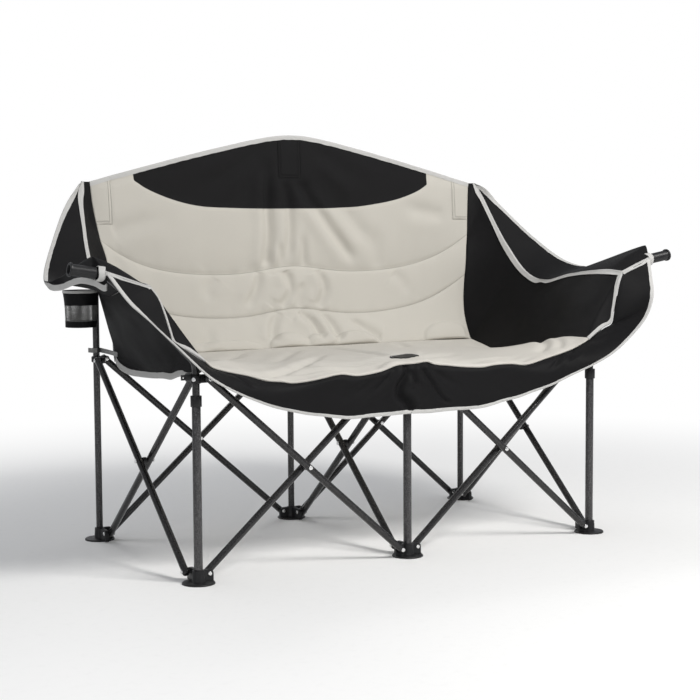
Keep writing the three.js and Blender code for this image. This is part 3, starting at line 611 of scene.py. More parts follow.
# Shape of the sling: the same measures as the part's cloth, with the photographed quilt lines
sling = {
    "legPitch": 530, "rowPitch": 560, "hubHeight": 440,
    "halfWidth": 545, "topCorner": 865, "topMiddle": 983, "topRound": 0.1, "topBow": 1.1,
    "crease": 447, "creaseBack": 480, "midPlane": 545.3, "bendRise": 193, "bendPower": 2.2,
    "wrap": 34, "wrapPower": 6,
    "quiltLines": (633, 525), "quiltEdgeRise": 94, "quiltRisePower": 4.5, "quiltMiddleRise": 19,
    "quiltMiddleReach": 115,
    "overHub": 22, "overCorner": 40, "dip": 31, "dipPower": 1.15, "hang": 5,
    "reachMiddle": 38, "reachCorner": 14, "lipDrop": 3, "lipShare": 0.975, "frontLift": 4,
    "gap": 0.4, "cloth": 2, "drawn": 1.6,
}
clear = sling["cloth"] / 2 + sling["gap"]
backWidths = [(0, 1), (0.15, 0.99), (0.33, 0.97), (0.47, 0.951), (0.67, 0.937), (0.85, 0.927), (1, 0.934)]
seatWidths = [(0, 0.934), (0.35, 0.918), (0.65, 0.928), (1, 0.943)]
# height of the seat's side edges by distance behind the front row, and of its front edge across
seatSides = [
    (-14, 482), (20, 485), (95, 473), (130, 460), (179, 442), (259, 429), (297, 426), (335, 427), (389, 433),
    (444, 441), (480, 447),
]
seatFront = [
    (-514, 477), (-500, 464), (-486, 458), (-457, 450), (-417, 441), (-372, 428), (-336, 424), (-313, 420),
    (-274, 422), (-237, 427), (-208, 432), (-189, 433), (-151, 428), (-95, 434), (-50, 446), (0, 448),
    (31, 450), (52, 443), (90, 438), (129, 433), (184, 429), (219, 432), (270, 432), (317, 427), (381, 439),
    (453, 454), (500, 470), (514, 477),
]


def topLine(u):
    def rounded(share):
        return np.hypot(share, sling["topRound"]) - sling["topRound"]
    return mix(sling["topMiddle"], sling["topCorner"], (rounded(u) / rounded(1)) ** sling["topBow"])


def quiltLine(u, height):
    middle = np.exp(-(u * sling["halfWidth"] / sling["quiltMiddleReach"]) ** 2)
    edge = np.abs(u) ** sling["quiltRisePower"]
    return height + sling["quiltMiddleRise"] * middle + sling["quiltEdgeRise"] * edge


def backPoint(a, b):
    a, b = paired(a, b)
    u = 2 * a - 1
    quilts = [quiltLine(u, h) for h in sling["quiltLines"]]
    lines = [topLine(u), *quilts, np.full_like(u, sling["crease"])]
    band = np.minimum(np.floor(3 * b), 2).astype(int)
    low = np.choose(band, lines[:3])
    high = np.choose(band, lines[1:])
    z = mix(low, high, 3 * b - band)
    lean = 1 - np.clip((z - sling["crease"]) / sling["bendRise"], 0, 1)
    wrap = sling["wrap"] * np.abs(u) ** sling["wrapPower"] * np.sin(math.pi * b**2 * (2 - b))
    y = mix(sling["midPlane"], sling["creaseBack"], lean ** sling["bendPower"]) - wrap
    return np.stack([u * sling["halfWidth"] * along(backWidths, b), y, z], -1)


def frontLine(u):
    over = mix(sling["overHub"], sling["overCorner"], np.abs(u))
    return sling["hubHeight"] + over - sling["dip"] * np.sin(math.pi * np.abs(u) ** sling["dipPower"]) ** 2


def seatPoint(a, b):
    a, b = paired(a, b)
    u = 2 * a - 1
    round_ = np.cos(math.pi / 2 * u)
    reach = mix(sling["reachCorner"], sling["reachMiddle"], round_)
    lip = np.maximum((b - sling["lipShare"]) / (1 - sling["lipShare"]), 0)
    x = u * sling["halfWidth"] * along(seatWidths, b)
    y = mix(sling["creaseBack"], -reach, b)
    z = mix(sling["crease"], frontLine(u), b) - sling["hang"] * np.sin(math.pi * b) * round_
    z = mix(z, along(seatSides, y), np.abs(u) ** 7)
    z = mix(z, along(seatFront, x) + sling["frontLift"], smooth(0.6, 1, b)) - sling["lipDrop"] * lip**2
    return np.stack([x, y, z], -1)


# Arm rails on the right side
arm = {
    "corner": (563, 545.3, 865), "elbow": (605, 292, 606), "inner": (631, 2, 637),
    "wingCorner": (755, 270, 641), "tip": (738, 20, 703),
    "ridgeRear": [(0.3, 0.06, 0.14), (0.5, 0.2, 0.35), (0.75, 0.42, 0.65), (0.93, 0.72, 0.92)],
    "ridgeFront": [(0.19, 0.4, 0.68), (0.46, 0.8, 1.06)],
    "wingRear": [(0.11, 0.08, 0.06), (0.3, 0.14, 0.26), (0.66, 0.43, 0.7), (0.88, 0.69, 0.94)],
    "crest": [(0.8, 0.2, 0.23), (0.8, 0.516, 0.6), (0.88, 0.88, 0.96)],
    "hem": [(0, 0), (0.5, 0), (0.62, 0.4), (0.8, 0.68), (0.9, 1), (0.95, 0.85), (1, 0.6)],
    "hemDepth": 58, "foldShare": 0.8, "sideTurn": 0.015, "crestStart": 0.03,
    "frontRise": 6, "risePower": 4,
    "seam": [(0.13, 0.1, 0.06), (0.38, 0.1, 0.17), (0.6, 0.1, 0.24), (0.68, 0.25, 0.41), (0.77, 0.4, 0.64),
             (0.88, 0.65, 0.87)],
}
ridge = railVia(arm["corner"], arm["ridgeRear"], arm["elbow"], arm["ridgeFront"], arm["inner"])
wingCrest = railVia(arm["corner"], arm["wingRear"], arm["wingCorner"], arm["crest"], arm["tip"])
frontSeam = railVia(seatPoint(1, 1), arm["seam"], arm["inner"])


def slingEdge(t):
    t = np.asarray(t, float)
    split = 0.46
    back = backPoint(np.ones_like(t), np.clip(t / split, 0, 1))
    seat = seatPoint(np.ones_like(t), np.clip((t - split) / (1 - split), 0, 1))
    return np.where((t < split)[..., None], back, seat) + np.array([clear, 0, 0])


def sidePoint(a, b):
    # the side panel: a runs along the sling's edge, b up to the ridge
    a, b = paired(a, b)
    end = frontSeam(b) + np.stack([clear * (1 - b), 0 * b, 0 * b], -1)
    bulge = end - mix(frontSeam(0) + np.array([clear, 0, 0]), frontSeam(1), b[..., None])
    near = np.maximum(1 - (1 - a) / arm["sideTurn"], 0)
    return mix(slingEdge(a), ridge(a), b[..., None]) + bulge * near[..., None]


def wingPoint(a, b):
    a, b = paired(a, b)
    inner = ridge(a) + np.array([sling["cloth"], 0, sling["cloth"] / 2])
    place = mix(arm["crestStart"], 1, a)
    slope = np.minimum(b / arm["foldShare"], 1)
    fold = np.maximum((b - arm["foldShare"]) / (1 - arm["foldShare"]), 0)
    point = mix(inner, wingCrest(place), slope[..., None])
    point[..., 2] += arm["frontRise"] * a ** arm["risePower"] * np.sin(math.pi * slope)
    point[..., 2] -= arm["hemDepth"] * along(arm["hem"], place) * fold
    return point


# Front skirt
skirt = {
    "drop": 112, "corner": (620, -94, 523), "tip": (736, 9, 668),
    "front": [(0.31, 0, 0.01), (0.55, 0, 0.16), (0.71, 0.33, 0.35), (0.86, 0.8, 0.6)],
    "arm": [(0.38, 0.21, 0.32), (0.69, 0.59, 0.62)],
    "seatTurn": 0.6, "tipTurn": 0.88, "columns": 421, "rows": 41, "foldDepth": 1.25, "wide": (130, 4.0),
    "tuck": (6, 3.0), "hemWave": (70, 3.0),
}
skirtMiddle = (0, -sling["reachMiddle"] + sling["cloth"], sling["crease"] - skirt["drop"])
skirtHem = railVia(skirtMiddle, skirt["front"], skirt["corner"], skirt["arm"], skirt["tip"])


def skirtSeam(t, side):
    # along the seat's lip, up the side panel's front seam, then out under the wing
    under = sling["cloth"] + 2 + sling["gap"]
    ahead = -clear - sling["cloth"] / 2
    first = seatPoint((1 + side * np.clip(t / skirt["seatTurn"], 0, 1)) / 2, np.ones_like(t))
    first[..., 0] = np.abs(first[..., 0])
    first = first + np.array([0, ahead - sling["gap"], -under])
    climb = np.clip((t - skirt["seatTurn"]) / (skirt["tipTurn"] - skirt["seatTurn"]), 0, 1)
    second = frontSeam(climb) + np.stack(
        [np.full_like(t, clear / 2), np.full_like(t, ahead), -mix(under, clear, climb)], -1)
    start = np.array(arm["inner"]) + np.array([clear / 2, ahead, -clear])
    stop = np.array(skirt["tip"]) + np.array([-clear, -clear, sling["cloth"]])
    rest = np.clip((t - skirt["tipTurn"]) / (1 - skirt["tipTurn"]), 0, 1)
    third = mix(start, stop, rest[..., None])
    out = np.where((t < skirt["seatTurn"])[..., None], first, second)
    return np.where((t < skirt["tipTurn"])[..., None], out, third)


def skirtPoint(a, b):
    a, b = paired(a, b)
    u = 2 * a - 1
    t = np.abs(u)
    point = mix(skirtSeam(t, np.where(u < 0, -1, 1)), skirtHem(t), b[..., None])
    point[..., 0] *= np.sign(u)
    return point


def foldField(x, z, folds, widen=1.0, deepen=1.0):
    # pushes of a set of folds at places (x, z); the tables of folds say what each row holds
    push = np.zeros_like(x)
    for points, width, depth, fadeStart, fadeEnd in folds:
        path = flatLine(points, 8, 9 * len(points))
        lengths = np.linalg.norm(np.diff(path, axis=0), axis=1)
        width = width * widen
        (left, low), (right, high) = path.min(0) - 5 * width, path.max(0) + 5 * width
        near = (x > left) & (x < right) & (z > low) & (z < high)
        px, pz = x[near], z[near]
        best, run, side = np.full_like(px, 1e9), np.zeros_like(px), np.zeros_like(px)
        done = 0.0
        for (x0, z0), (x1, z1), length in zip(path[:-1], path[1:], lengths):
            dx, dz = (x1 - x0) / length, (z1 - z0) / length
            t = np.clip((px - x0) * dx + (pz - z0) * dz, 0, length)
            ox, oz = px - x0 - t * dx, pz - z0 - t * dz
            distance = np.hypot(ox, oz)
            closer = distance < best
            best = np.where(closer, distance, best)
            run = np.where(closer, (done + t) / lengths.sum(), run)
            side = np.where(closer, np.where(ox * dz - oz * dx > 0, 1, -1), side)
            done += length
        signed = best * side
        fade = smooth(0, fadeStart, run) * smooth(0, fadeEnd, 1 - run)
        valley = np.exp(-(signed / width) ** 2)
        shoulders = sum(
            share * np.exp(-((signed - turn * 1.9 * width) / (1.3 * width)) ** 2)
            for share, turn in ((0.42, 1), (0.22, -1))
        )
        push[near] += deepen * depth * fade * (valley - shoulders)
    return push


def boxDistance(x, z, low, high):
    # distance from the outline of an upright rectangle, below 0 inside it
    across = np.abs(x - (low[0] + high[0]) / 2) - (high[0] - low[0]) / 2
    down = np.abs(z - (low[1] + high[1]) / 2) - (high[1] - low[1]) / 2
    return np.maximum(across, down)


def surfaceSampler(points, axes):
    # place on a grid of points nearest to (first axis, second axis), from its four nearest points
    flat = points.reshape(-1, 3)
    normals = gridNormals(points).reshape(-1, 3)

    def at(p, q):
        distance = np.hypot(flat[:, axes[0]] - p, flat[:, axes[1]] - q)
        nearest = np.argpartition(distance, 4)[:4]
        weight = 1 / (distance[nearest] + 0.05)
        weight = weight / weight.sum()
        return weight @ flat[nearest], unit(weight @ normals[nearest])

    return at


# Folds seen on the back: (points, width, depth, fade at start, fade at end), depth above 0 goes rearward
backFolds = [
    ([(-62, 930), (-70, 860), (-73, 800), (-70, 736), (-79, 640)], 10, 6.4, 0.3, 0.1),
    ([(-20, 872), (-10, 790), (-8, 720), (-27, 640)], 9, 4.6, 0.1, 0.3),
    ([(18, 876), (50, 822), (84, 780), (126, 728), (190, 652)], 11, 5.6, 0.1, 0.2),
    ([(40, 880), (90, 836), (150, 790), (205, 735), (250, 660)], 15, 3.0, 0.1, 0.3),
    ([(29, 740), (33, 650)], 7, 3.4, 0.4, 0.1),
    ([(-40, 720), (-29, 650)], 7, 3.4, 0.4, 0.1),
    ([(-60, 955), (-180, 890), (-304, 822)], 17, 3.2, 0.2, 0.5),
    ([(-58, 925), (-120, 865), (-172, 805)], 14, 3.2, 0.2, 0.4),
    ([(60, 955), (150, 900), (260, 850)], 16, 2.6, 0.2, 0.6),
    ([(60, 900), (130, 840), (180, 800)], 13, 2.2, 0.2, 0.5),
    ([(-97, 640), (-106, 599), (-142, 545)], 9, 3.8, 0.02, 0.3),
    ([(-22, 642), (-9, 590), (-41, 545)], 9, 4.4, 0.02, 0.1),
    ([(77, 642), (90, 590), (66, 543)], 9, 4.4, 0.02, 0.1),
    ([(31, 615), (16, 580), (9, 545)], 8, 3.0, 0.3, 0.1),
    ([(-50, 538), (-76, 500), (-87, 455)], 9, 4.6, 0.05, 0.2),
    ([(8, 538), (38, 508), (58, 460)], 9, 5.2, 0.05, 0.1),
    ([(70, 538), (92, 500), (110, 456)], 9, 5.0, 0.05, 0.1),
    ([(140, 512), (180, 490), (232, 455)], 9, 4.4, 0.3, 0.1),
    ([(234, 760), (250, 700), (252, 630)], 15, 2.6, 0.4, 0.2),
    ([(313, 806), (400, 790), (478, 775)], 14, 2.8, 0.4, 0.3),
    ([(-500, 742), (-440, 760), (-330, 790)], 15, 2.4, 0.1, 0.6),
    ([(-500, 690), (-470, 620), (-462, 560)], 14, 2.2, 0.2, 0.5),
    ([(-220, 632), (-240, 600), (-236, 560)], 12, 2.2, 0.1, 0.4),
    ([(300, 632), (330, 600), (335, 560)], 12, 2.0, 0.1, 0.4),
    ([(-470, 470), (-420, 490), (-400, 520)], 9, 2.6, 0.2, 0.5),
    ([(-300, 452), (-260, 480), (-250, 515)], 10, 2.2, 0.2, 0.5),
]
# rolls that swell over the crease: (middle along, half length, height above the crease, depth)
creaseRolls = [
    (-42, 58, 16, 15), (54, 52, 14, 13), (150, 70, 14, 13), (440, 80, 22, 15), (-230, 110, 10, 7),
    (-400, 90, 10, 8),
]
lensLine = [
    (-432, 868), (-400, 848), (-330, 821), (-260, 806), (-170, 801), (-85, 799), (0, 799), (85, 799),
    (152, 801), (200, 804), (313, 822), (380, 845), (408, 861),
]
pockets = {
    "middle": ((-40, 876), (24, 1010)), "left": ((-600, 763), (-494, 888)),
    "right": ((489, 767), (600, 886)),
}


def lensDistance(x, z):
    # millimetres inside the black panel at the top of the back, below 0 outside it
    (left, corner), right = lensLine[0], lensLine[-1][0]
    lower = flatLine(lensLine, 12, 160)
    lean = 0.12 * (z - corner)
    inside = np.minimum(x - left + lean, right - x + lean / 2)
    return np.minimum((z - np.interp(x, lower[:, 0], lower[:, 1])) * 0.97, inside)


backPad = {
    "front": 8.0, "rear": 2.5, "seam": 1.4, "columns": 301, "rows": 163, "crown": 0.5, "fold": 1.75,
    "foldWidth": 1.4, "pinch": 0.7, "least": 1.6, "wide": (120, 1.8), "fine": (45, 0.8), "pucker": 24,
}


def padRise(b, bands, power):
    place = bands * b - np.floor(np.minimum(bands * b, bands - 1e-9))
    return np.clip(4 * place * (1 - place), 0, 1) ** power


def makeBack():
    a, b = gridOf(np.linspace(0, 1, backPad["columns"]), np.linspace(0, 1 - 0.4 / 418, backPad["rows"]))
    middle = backPoint(a, b)
    normal = gridNormals(middle)
    normal *= np.sign(-normal[..., 1:2])
    x, z = middle[..., 0], middle[..., 2]
    u = 2 * a - 1
    lens = lensDistance(x, z)
    crown = padRise(b, 3, backPad["crown"]) * (1 - np.abs(u) ** 10)
    crown = crown * np.where(b < 1 / 3, smooth(0.02, 0.16, 3 * b), 1)
    crown = crown * (1 - 0.45 * smooth(-4, 14, lens))
    quilt = np.abs(z - np.stack([quiltLine(u, h) for h in sling["quiltLines"]])).min(0)
    centre = np.exp(-(x / 200) ** 2)
    push = foldField(x, z, backFolds, backPad["foldWidth"], backPad["fold"])
    push = push * mix(0.45, 1, smooth(0, 26, quilt))
    pucker = noiseOf(x, 0, 0.16 * z, backPad["pucker"], 3.1) * np.exp(-(quilt / backPad["pucker"]) ** 2)
    wide = noiseOf(x, 0, z, backPad["wide"][0], 1.7)
    fine = noiseOf(x, 0, 0.5 * z, backPad["fine"][0], 5.2)
    relief = push + pucker * (0.7 + 1.5 * centre)
    relief = relief + backPad["wide"][1] * wide + backPad["fine"][1] * fine
    relief += 1.6 * np.exp(-(lens / 3.0) ** 2) + backPad["pinch"] * np.exp(-(quilt / 4.5) ** 2)
    pocket = np.stack([boxDistance(x, z, *ends) for ends in pockets.values()]).min(0)
    relief = relief * np.where(pocket < 0, 0.25, 1) - 1.4 * smooth(2, -6, pocket)
    relief += 1.3 * np.exp(-(pocket / 2.6) ** 2)
    swell = np.zeros_like(x)
    for place, half, rise, depth in creaseRolls:
        span = np.sqrt(np.clip(1 - ((x - place) / half) ** 2, 0, 1))
        top = sling["crease"] + 4 + rise * 1.9 * span
        share = np.clip((z - sling["crease"]) / np.maximum(top - sling["crease"], 1), 0, 1)
        swell = np.maximum(swell, depth * span * np.sqrt(np.clip(1 - share**3, 0, 1)) * (z < top))
    hold = smooth(0, 0.035, b) * smooth(0, 0.05, 1 - np.abs(u))
    push = relief * hold * smooth(0, 0.02, 1 - b) - swell * hold
    ahead = backPad["seam"] + backPad["front"] * crown - push
    behind = np.maximum(backPad["seam"] + backPad["rear"] * crown, backPad["least"] - ahead)
    front, rear = middle + normal * ahead[..., None], middle - normal * behind[..., None]
    piece = closedPad("backCushion", front, rear, backCloth)
    masks = {"lens": (lens, -50), "rear": (0 * x, 1), "pocket": (pocket, 50), "quilt": (quilt, 50)}
    for name, (ahead, behind) in masks.items():
        setMask(piece, name, np.stack([ahead, np.full_like(x, behind)]))
    return piece, front, rear


backPiece, backFront, backRear = makeBack()
print("back made")

# the same for the seat, with points (x, y) as seen from above
seatFolds = [
    ([(-20, 4), (-150, 40), (-330, 150)], 14, 3.0, 0.15, 0.5),
    ([(-30, -8), (-190, 6), (-400, 40)], 11, 3.4, 0.1, 0.4),
    ([(-60, -20), (-220, -14), (-440, 0)], 9, 3.2, 0.1, 0.3),
    ([(-36, 30), (0, 240), (8, 440)], 14, 3.4, 0.1, 0.3),
    ([(-74, 214), (-338, 20), (-470, -20)], 13, 3.4, 0.3, 0.2),
    ([(-116, 175), (-249, 68), (-410, -20)], 12, 2.8, 0.3, 0.3),
    ([(30, 0), (130, 60), (260, 150)], 13, 3.0, 0.15, 0.5),
    ([(50, -15), (190, 4), (380, 36)], 11, 3.2, 0.1, 0.5),
    ([(120, -22), (250, -14), (380, 6)], 9, 2.6, 0.2, 0.3),
    ([(-300, 120), (-180, 250), (-60, 400)], 16, 2.4, 0.4, 0.3),
    ([(-380, 220), (-270, 330), (-200, 440)], 16, 2.2, 0.4, 0.3),
    ([(-490, 60), (-440, 120), (-400, 240)], 14, 3.0, 0.2, 0.5),
    ([(380, 10), (440, 60), (490, 180)], 13, 4.2, 0.2, 0.4),
    ([(430, -4), (470, 40), (505, 110)], 10, 3.4, 0.2, 0.4),
    ([(180, 300), (230, 380), (240, 450)], 14, 2.4, 0.4, 0.2),
]
seatPad = {
    "top": 6.0, "under": 4.0, "seam": 1.7, "columns": 291, "rows": 150, "fold": 1.35,
    "wide": (150, 1.8), "fine": (55, 1.2), "rays": (30, 3.0), "lip": (26, 1.4),
}


def makeSeat():
    steps = np.linspace(0, 1, seatPad["rows"])
    steps = np.where(steps < 0.86, steps / 0.86 * 0.965, mix(0.965, 1, (steps - 0.86) / 0.14))
    a, b = gridOf(np.linspace(0, 1, seatPad["columns"]), mix(2.0 / 480, 1, steps))
    middle = seatPoint(a, b)
    x, y = middle[..., 0], middle[..., 1]
    middle[..., 2] -= 20 * np.exp(-((x - 450) / 78) ** 2 - ((y - 255) / 100) ** 2)
    normal = gridNormals(middle)
    normal *= np.sign(normal[..., 2:3])
    u = np.abs(2 * a - 1)
    crown = padRise(b, 1, 0.3) * (1 - u ** 10) * mix(0.4, 1, smooth(0, 0.16, 1 - b))
    wide = noiseOf(x, y, 0, seatPad["wide"][0], 2.3)
    fine = noiseOf(x, y, 0, seatPad["fine"][0], 8.3)
    angle = np.arctan2(y + 60, x + 10) * 300
    rays = noiseOf(angle, 0.15 * np.hypot(x, y), 0, seatPad["rays"][0], 4.4)
    rays = rays * np.exp(-np.hypot(x / 330, y / 170) ** 2)
    lip = noiseOf(x, 0.4 * y, 0, seatPad["lip"][0], 6.4) * smooth(0.8, 1, b)
    relief = foldField(x, y, seatFolds, deepen=seatPad["fold"])
    for name, field in (("wide", wide), ("fine", fine), ("rays", rays), ("lip", lip)):
        relief = relief + seatPad[name][1] * field
    hold = smooth(0, 0.02, b) * smooth(0, 0.012, 1 - b) * smooth(0, 0.04, 1 - u)
    hold = hold * (1 - 0.85 * np.exp(-((x - 4) / 50) ** 2 - ((y - 17) / 26) ** 2))
    push = relief * hold
    above = seatPad["seam"] + seatPad["top"] * crown - push
    below = seatPad["seam"] + seatPad["under"] * crown + np.maximum(push - 4, 0)
    top, under = middle + normal * above[..., None], middle - normal * below[..., None]
    return closedPad("seatCushion", top, under, seatCloth), top


seatPiece, seatTop = makeSeat()
print("seat made")

# how far the side panel hangs below the seat's edge: (place along its lower edge, depth)
apronDepth = [
    (0.0, 2), (0.42, 3), (0.455, 10), (0.48, 19), (0.52, 22), (0.56, 20), (0.6, 15), (0.65, 11), (0.731, 12),
    (0.79, 20), (0.847, 32), (0.9, 44), (0.94, 44), (0.97, 32), (1.0, 22),
]
# noise and waves are given as (size, amount)
panel = {"rows": 71, "cup": (455, 570), "cupReach": 115, "wide": (110, 6.0), "fine": (42, 1.4)}
# places along the side panel, whose columns crowd together near its front end
sideRun = np.concatenate([np.linspace(0, 0.96, 150), np.linspace(0.96, 1, 12)[1:]])


def makeSide(side, word):
    a, b = gridOf(sideRun, np.linspace(0, 1, panel["rows"]))
    points = sidePoint(a, b)
    hold = smooth(0, 0.08, b) * smooth(0, 0.1, 1 - b) * smooth(0, 0.05, a) * smooth(0, 0.08, 1 - a)
    hold = hold * (1 - np.exp(-(((points[..., 1:] - panel["cup"]) / panel["cupReach"]) ** 2).sum(-1)))
    wide = softNoise(points * np.array([1, 1, 1.3]), panel["wide"][0], 11.0 + side)
    fine = softNoise(points, panel["fine"][0], 17.0 + side)
    points = relieved(points, hold * (panel["wide"][1] * wide + panel["fine"][1] * fine))
    depth = along(apronDepth, sideRun)
    turn = smooth(0.40, 0.47, sideRun)[:, None]
    fall = unit(mix(np.array([0.2, 1.0, 0.0]), np.array([0.16, 0.0, -1.0]), turn))
    apron = [points[0] + fall * (depth * share)[:, None] for share in np.linspace(1, 0, 8)[:-1]]
    points = np.concatenate([np.array(apron), points])
    return sheetPiece(word + "SidePanel", mirroredGrid(points, side), sling["drawn"], blackCloth), points


# the front edge goes from first to last, where it is sewn to the skirt, and bows between them
wing = {
    "columns": 151, "over": 40, "hanging": 11, "first": (631, 1, 637.5), "last": (724, 8, 669.5),
    "bow": 0.5, "wide": (120, 4.5), "fine": (45, 1.2), "waver": (30, 2.5), "slack": 0.8,
}


def makeWing(side, word):
    # the first rows lie over the arm, the others hang from it
    fold, over, hanging = arm["foldShare"], wing["over"], wing["hanging"]
    down = np.concatenate([np.linspace(0, fold, over), np.linspace(fold, 1, hanging + 1)[1:]])
    a, b = gridOf(np.linspace(0, 1, wing["columns"]), down)
    points = wingPoint(a, b)
    share = np.minimum(b / fold, 1)
    frontEdge = mix(np.array(wing["first"], float), np.array(wing["last"], float), share[..., None])
    frontEdge[..., 2] += wing["bow"] * np.sin(math.pi * share)
    points = points + smooth(0.90, 1, a)[..., None] * (frontEdge - wingPoint(1, share * fold))
    hold = smooth(0, 0.12, b) * smooth(0, 0.2, 0.8 - b) * smooth(0, 0.06, a) * smooth(0, 0.1, 1 - a)
    wide = softNoise(points, wing["wide"][0], 21.0 + side)
    fine = softNoise(points, wing["fine"][0], 25.0 + side)
    relief = (wing["wide"][1] * wide + wing["fine"][1] * fine) * hold
    points[:over] = relieved(points[:over], relief[:over])
    waver = softNoise(points[over:] * np.array([1, 1, 0.3]), wing["waver"][0], 27.0)
    drop = np.linspace(0, 1, hanging)[:, None]
    hem = along(arm["hem"], mix(arm["crestStart"], 1, a[0]))
    points[over:, :, 0] += wing["waver"][1] * waver * drop * smooth(0, 0.2, hem)
    points[over:, :, 2] -= wing["slack"] * (drop * (1 - hem))
    return sheetPiece(word + "Wing", mirroredGrid(points, side), sling["drawn"], blackCloth), points


# Folds of the skirt: points (x, distance down), width, depth and fades
skirtFolds = [
    ([(-27, 0), (-25, 16), (-44, 44), (-44, 66), (-21, 86), (-10, 108)], 9, 9.0, 0.02, 0.05),
    ([(12, 0), (16, 10), (49, 52), (77, 82), (98, 94)], 4.5, 4.0, 0.05, 0.1),
    ([(-7, 0), (-11, 24), (12, 54)], 6, 5.0, 0.05, 0.4),
    ([(-53, 0), (-89, 30), (-140, 66)], 9, 4.0, 0.05, 0.5),
    ([(30, 0), (80, 30), (140, 60)], 9, 3.0, 0.05, 0.6),
    ([(-90, 0), (-150, 40), (-210, 80)], 12, 2.8, 0.1, 0.6),
    ([(471, 0), (445, 30), (425, 56)], 9, 5.0, 0.05, 0.4),
    ([(430, 0), (400, 30), (370, 60)], 10, 3.4, 0.05, 0.5),
    ([(513, 0), (529, 34), (535, 60)], 9, 4.0, 0.05, 0.4),
    ([(-471, 0), (-440, 34), (-410, 66)], 10, 4.0, 0.05, 0.4),
    ([(-520, 0), (-520, 34), (-500, 70)], 10, 3.4, 0.05, 0.4),
]


def makeSkirt():
    a, b = gridOf(np.linspace(0, 1, skirt["columns"]), np.linspace(0, 1, skirt["rows"]))
    points = skirtPoint(a, b)
    x = points[..., 0]
    x[:] = np.sign(x) * (np.abs(x) - 0.26 * np.maximum(np.abs(x) - 690, 0))
    t = np.abs(2 * a - 1)
    hold = smooth(0, 0.1, b) * mix(0.3, 1, smooth(0, 0.12, 1 - b))
    wide = softNoise(points, skirt["wide"][0], 31.0)
    push = foldField(x, b * 110, skirtFolds, deepen=skirt["foldDepth"])
    points[..., 1] += push * smooth(0, 0.04, b)
    points[..., 1] -= hold * skirt["wide"][1] * wide
    tucked = (1 - smooth(0, 0.09, b)) * (t < skirt["seatTurn"] + 0.01)
    points[..., 1] += skirt["tuck"][0] * tucked
    points[..., 2] += skirt["tuck"][1] * tucked
    wave = smooth(0.5, 1, b) * noiseOf(x, 0, 0, skirt["hemWave"][0], 37.0)
    points[..., 2] += skirt["hemWave"][1] * wave * (t < 0.9)
    return sheetPiece("frontSkirt", points, sling["drawn"], blackCloth), points


sideMade = {word: makeSide(side, word) for side, word in sides}
wingMade = {word: makeWing(side, word) for side, word in sides}
skirtPiece, skirtPoints = makeSkirt()
print("sheets made")

# Edge tape: a strip folded over each cut edge, or laid over a seam
tape = {"half": 1.5, "over": 1.0, "thick": 1.0, "lift": 0.9}


def stepsIn(columns, distances):
    # points at given distances from the first point along each polyline
    out = []
    for line in columns:
        run = runOf(line) + np.arange(len(line)) * 1e-6
        out.append(np.stack([np.interp(distances, run, line[:, k]) for k in range(3)], -1))
    return np.array(out)


def stripPiece(name, rows, material):
    # a closed strip: one ring of points for each step along it
    count, around = rows.shape[:2]
    ends = [tuple(range(around))[::-1], tuple(range((count - 1) * around, count * around))]
    piece = newPiece(name, placed(rows).reshape(-1, 3), ringFaces(count, around) + ends, material)
    setUv(piece, uvGrid(runOf(rows[0]), runOf(rows.mean(1))))
    facingOut(piece)
    smoothUpTo(50)
    return piece


def bandAlong(name, columns, side, reach, half=tape["half"], seed=0.0, wobble=0.5, material=tapeCloth):
    # tape folded over an edge: columns are polylines that start on the edge and run into the cloth
    shares = np.array([0, 0.3, 0.65, 1])
    points = stepsIn(np.array(columns, float), reach * shares)
    inward = unit(points[:, 1] - points[:, 0])
    normal = unit(np.cross(tangents(points[:, 0]), inward))[:, None]
    inward = inward[:, None]
    run = runOf(points[:, 0])
    shift = inward * wobble * lineNoise(run / 45, seed, 0)[:, None, None]
    stretch = inward * reach * 0.09 * lineNoise(run / 16, seed, 5)[:, None, None]
    base = points + shift + stretch * shares[:, None]
    half = np.broadcast_to(half, (len(points), 4))[..., None]
    lift = normal * (half + np.array([0, 0, 0.2, 0])[:, None])
    edge = points[:, :1] + shift - inward * tape["over"]
    tip = edge + normal * (0.6 * half[:, :1] * np.array([1, -1])[:, None])
    rows = np.concatenate([(base + lift)[:, ::-1], tip, base - lift], axis=1)
    return stripPiece(name, mirroredGrid(rows, side), material)


def tapeOver(name, layers, outward, side, seed, puff):
    # tape laid over a seam: layers is a grid of points across it, outward a rough direction it faces
    normals = gridNormals(layers)
    normals *= np.where(np.sum(normals * outward, axis=-1, keepdims=True) < 0, -1, 1)
    wave = 0.5 * lineNoise(runOf(layers[:, 0]) / 30, seed, 2)
    offset = (tape["lift"] + wave[:, None] + puff)[..., None]
    low, high = layers + normals * offset, layers + normals * (offset + tape["thick"])
    rows = np.concatenate([high, low[:, ::-1]], axis=1)
    return stripPiece(name, mirroredGrid(rows, side), tapeCloth)


def makeTopTape():
    columns = ((backFront + backRear) / 2)[:14].transpose(1, 0, 2)
    walls = np.linalg.norm(backFront - backRear, axis=2)[:14].T / 2
    half = [np.interp((0, 3, 6.5, 10), runOf(line), wall) for line, wall in zip(columns, walls)]
    return bandAlong("backTopTape", columns, 1, 10, half=np.array(half) + 0.8, seed=1.3)


ridgeBreadth = [
    (0, 9), (0.12, 9), (0.28, 7), (0.4, 9.5), (0.52, 8), (0.6, 9), (0.68, 6.5), (0.8, 7), (0.9, 10.5),
    (1, 9),
]


def resampled(columns, shares):
    # the same polylines at other places along their row
    place = np.linspace(0, 1, len(columns))
    flat = columns.reshape(len(columns), -1)
    out = np.stack([np.interp(shares, place, values) for values in flat.T], -1)
    return out.reshape(len(shares), *columns.shape[1:])


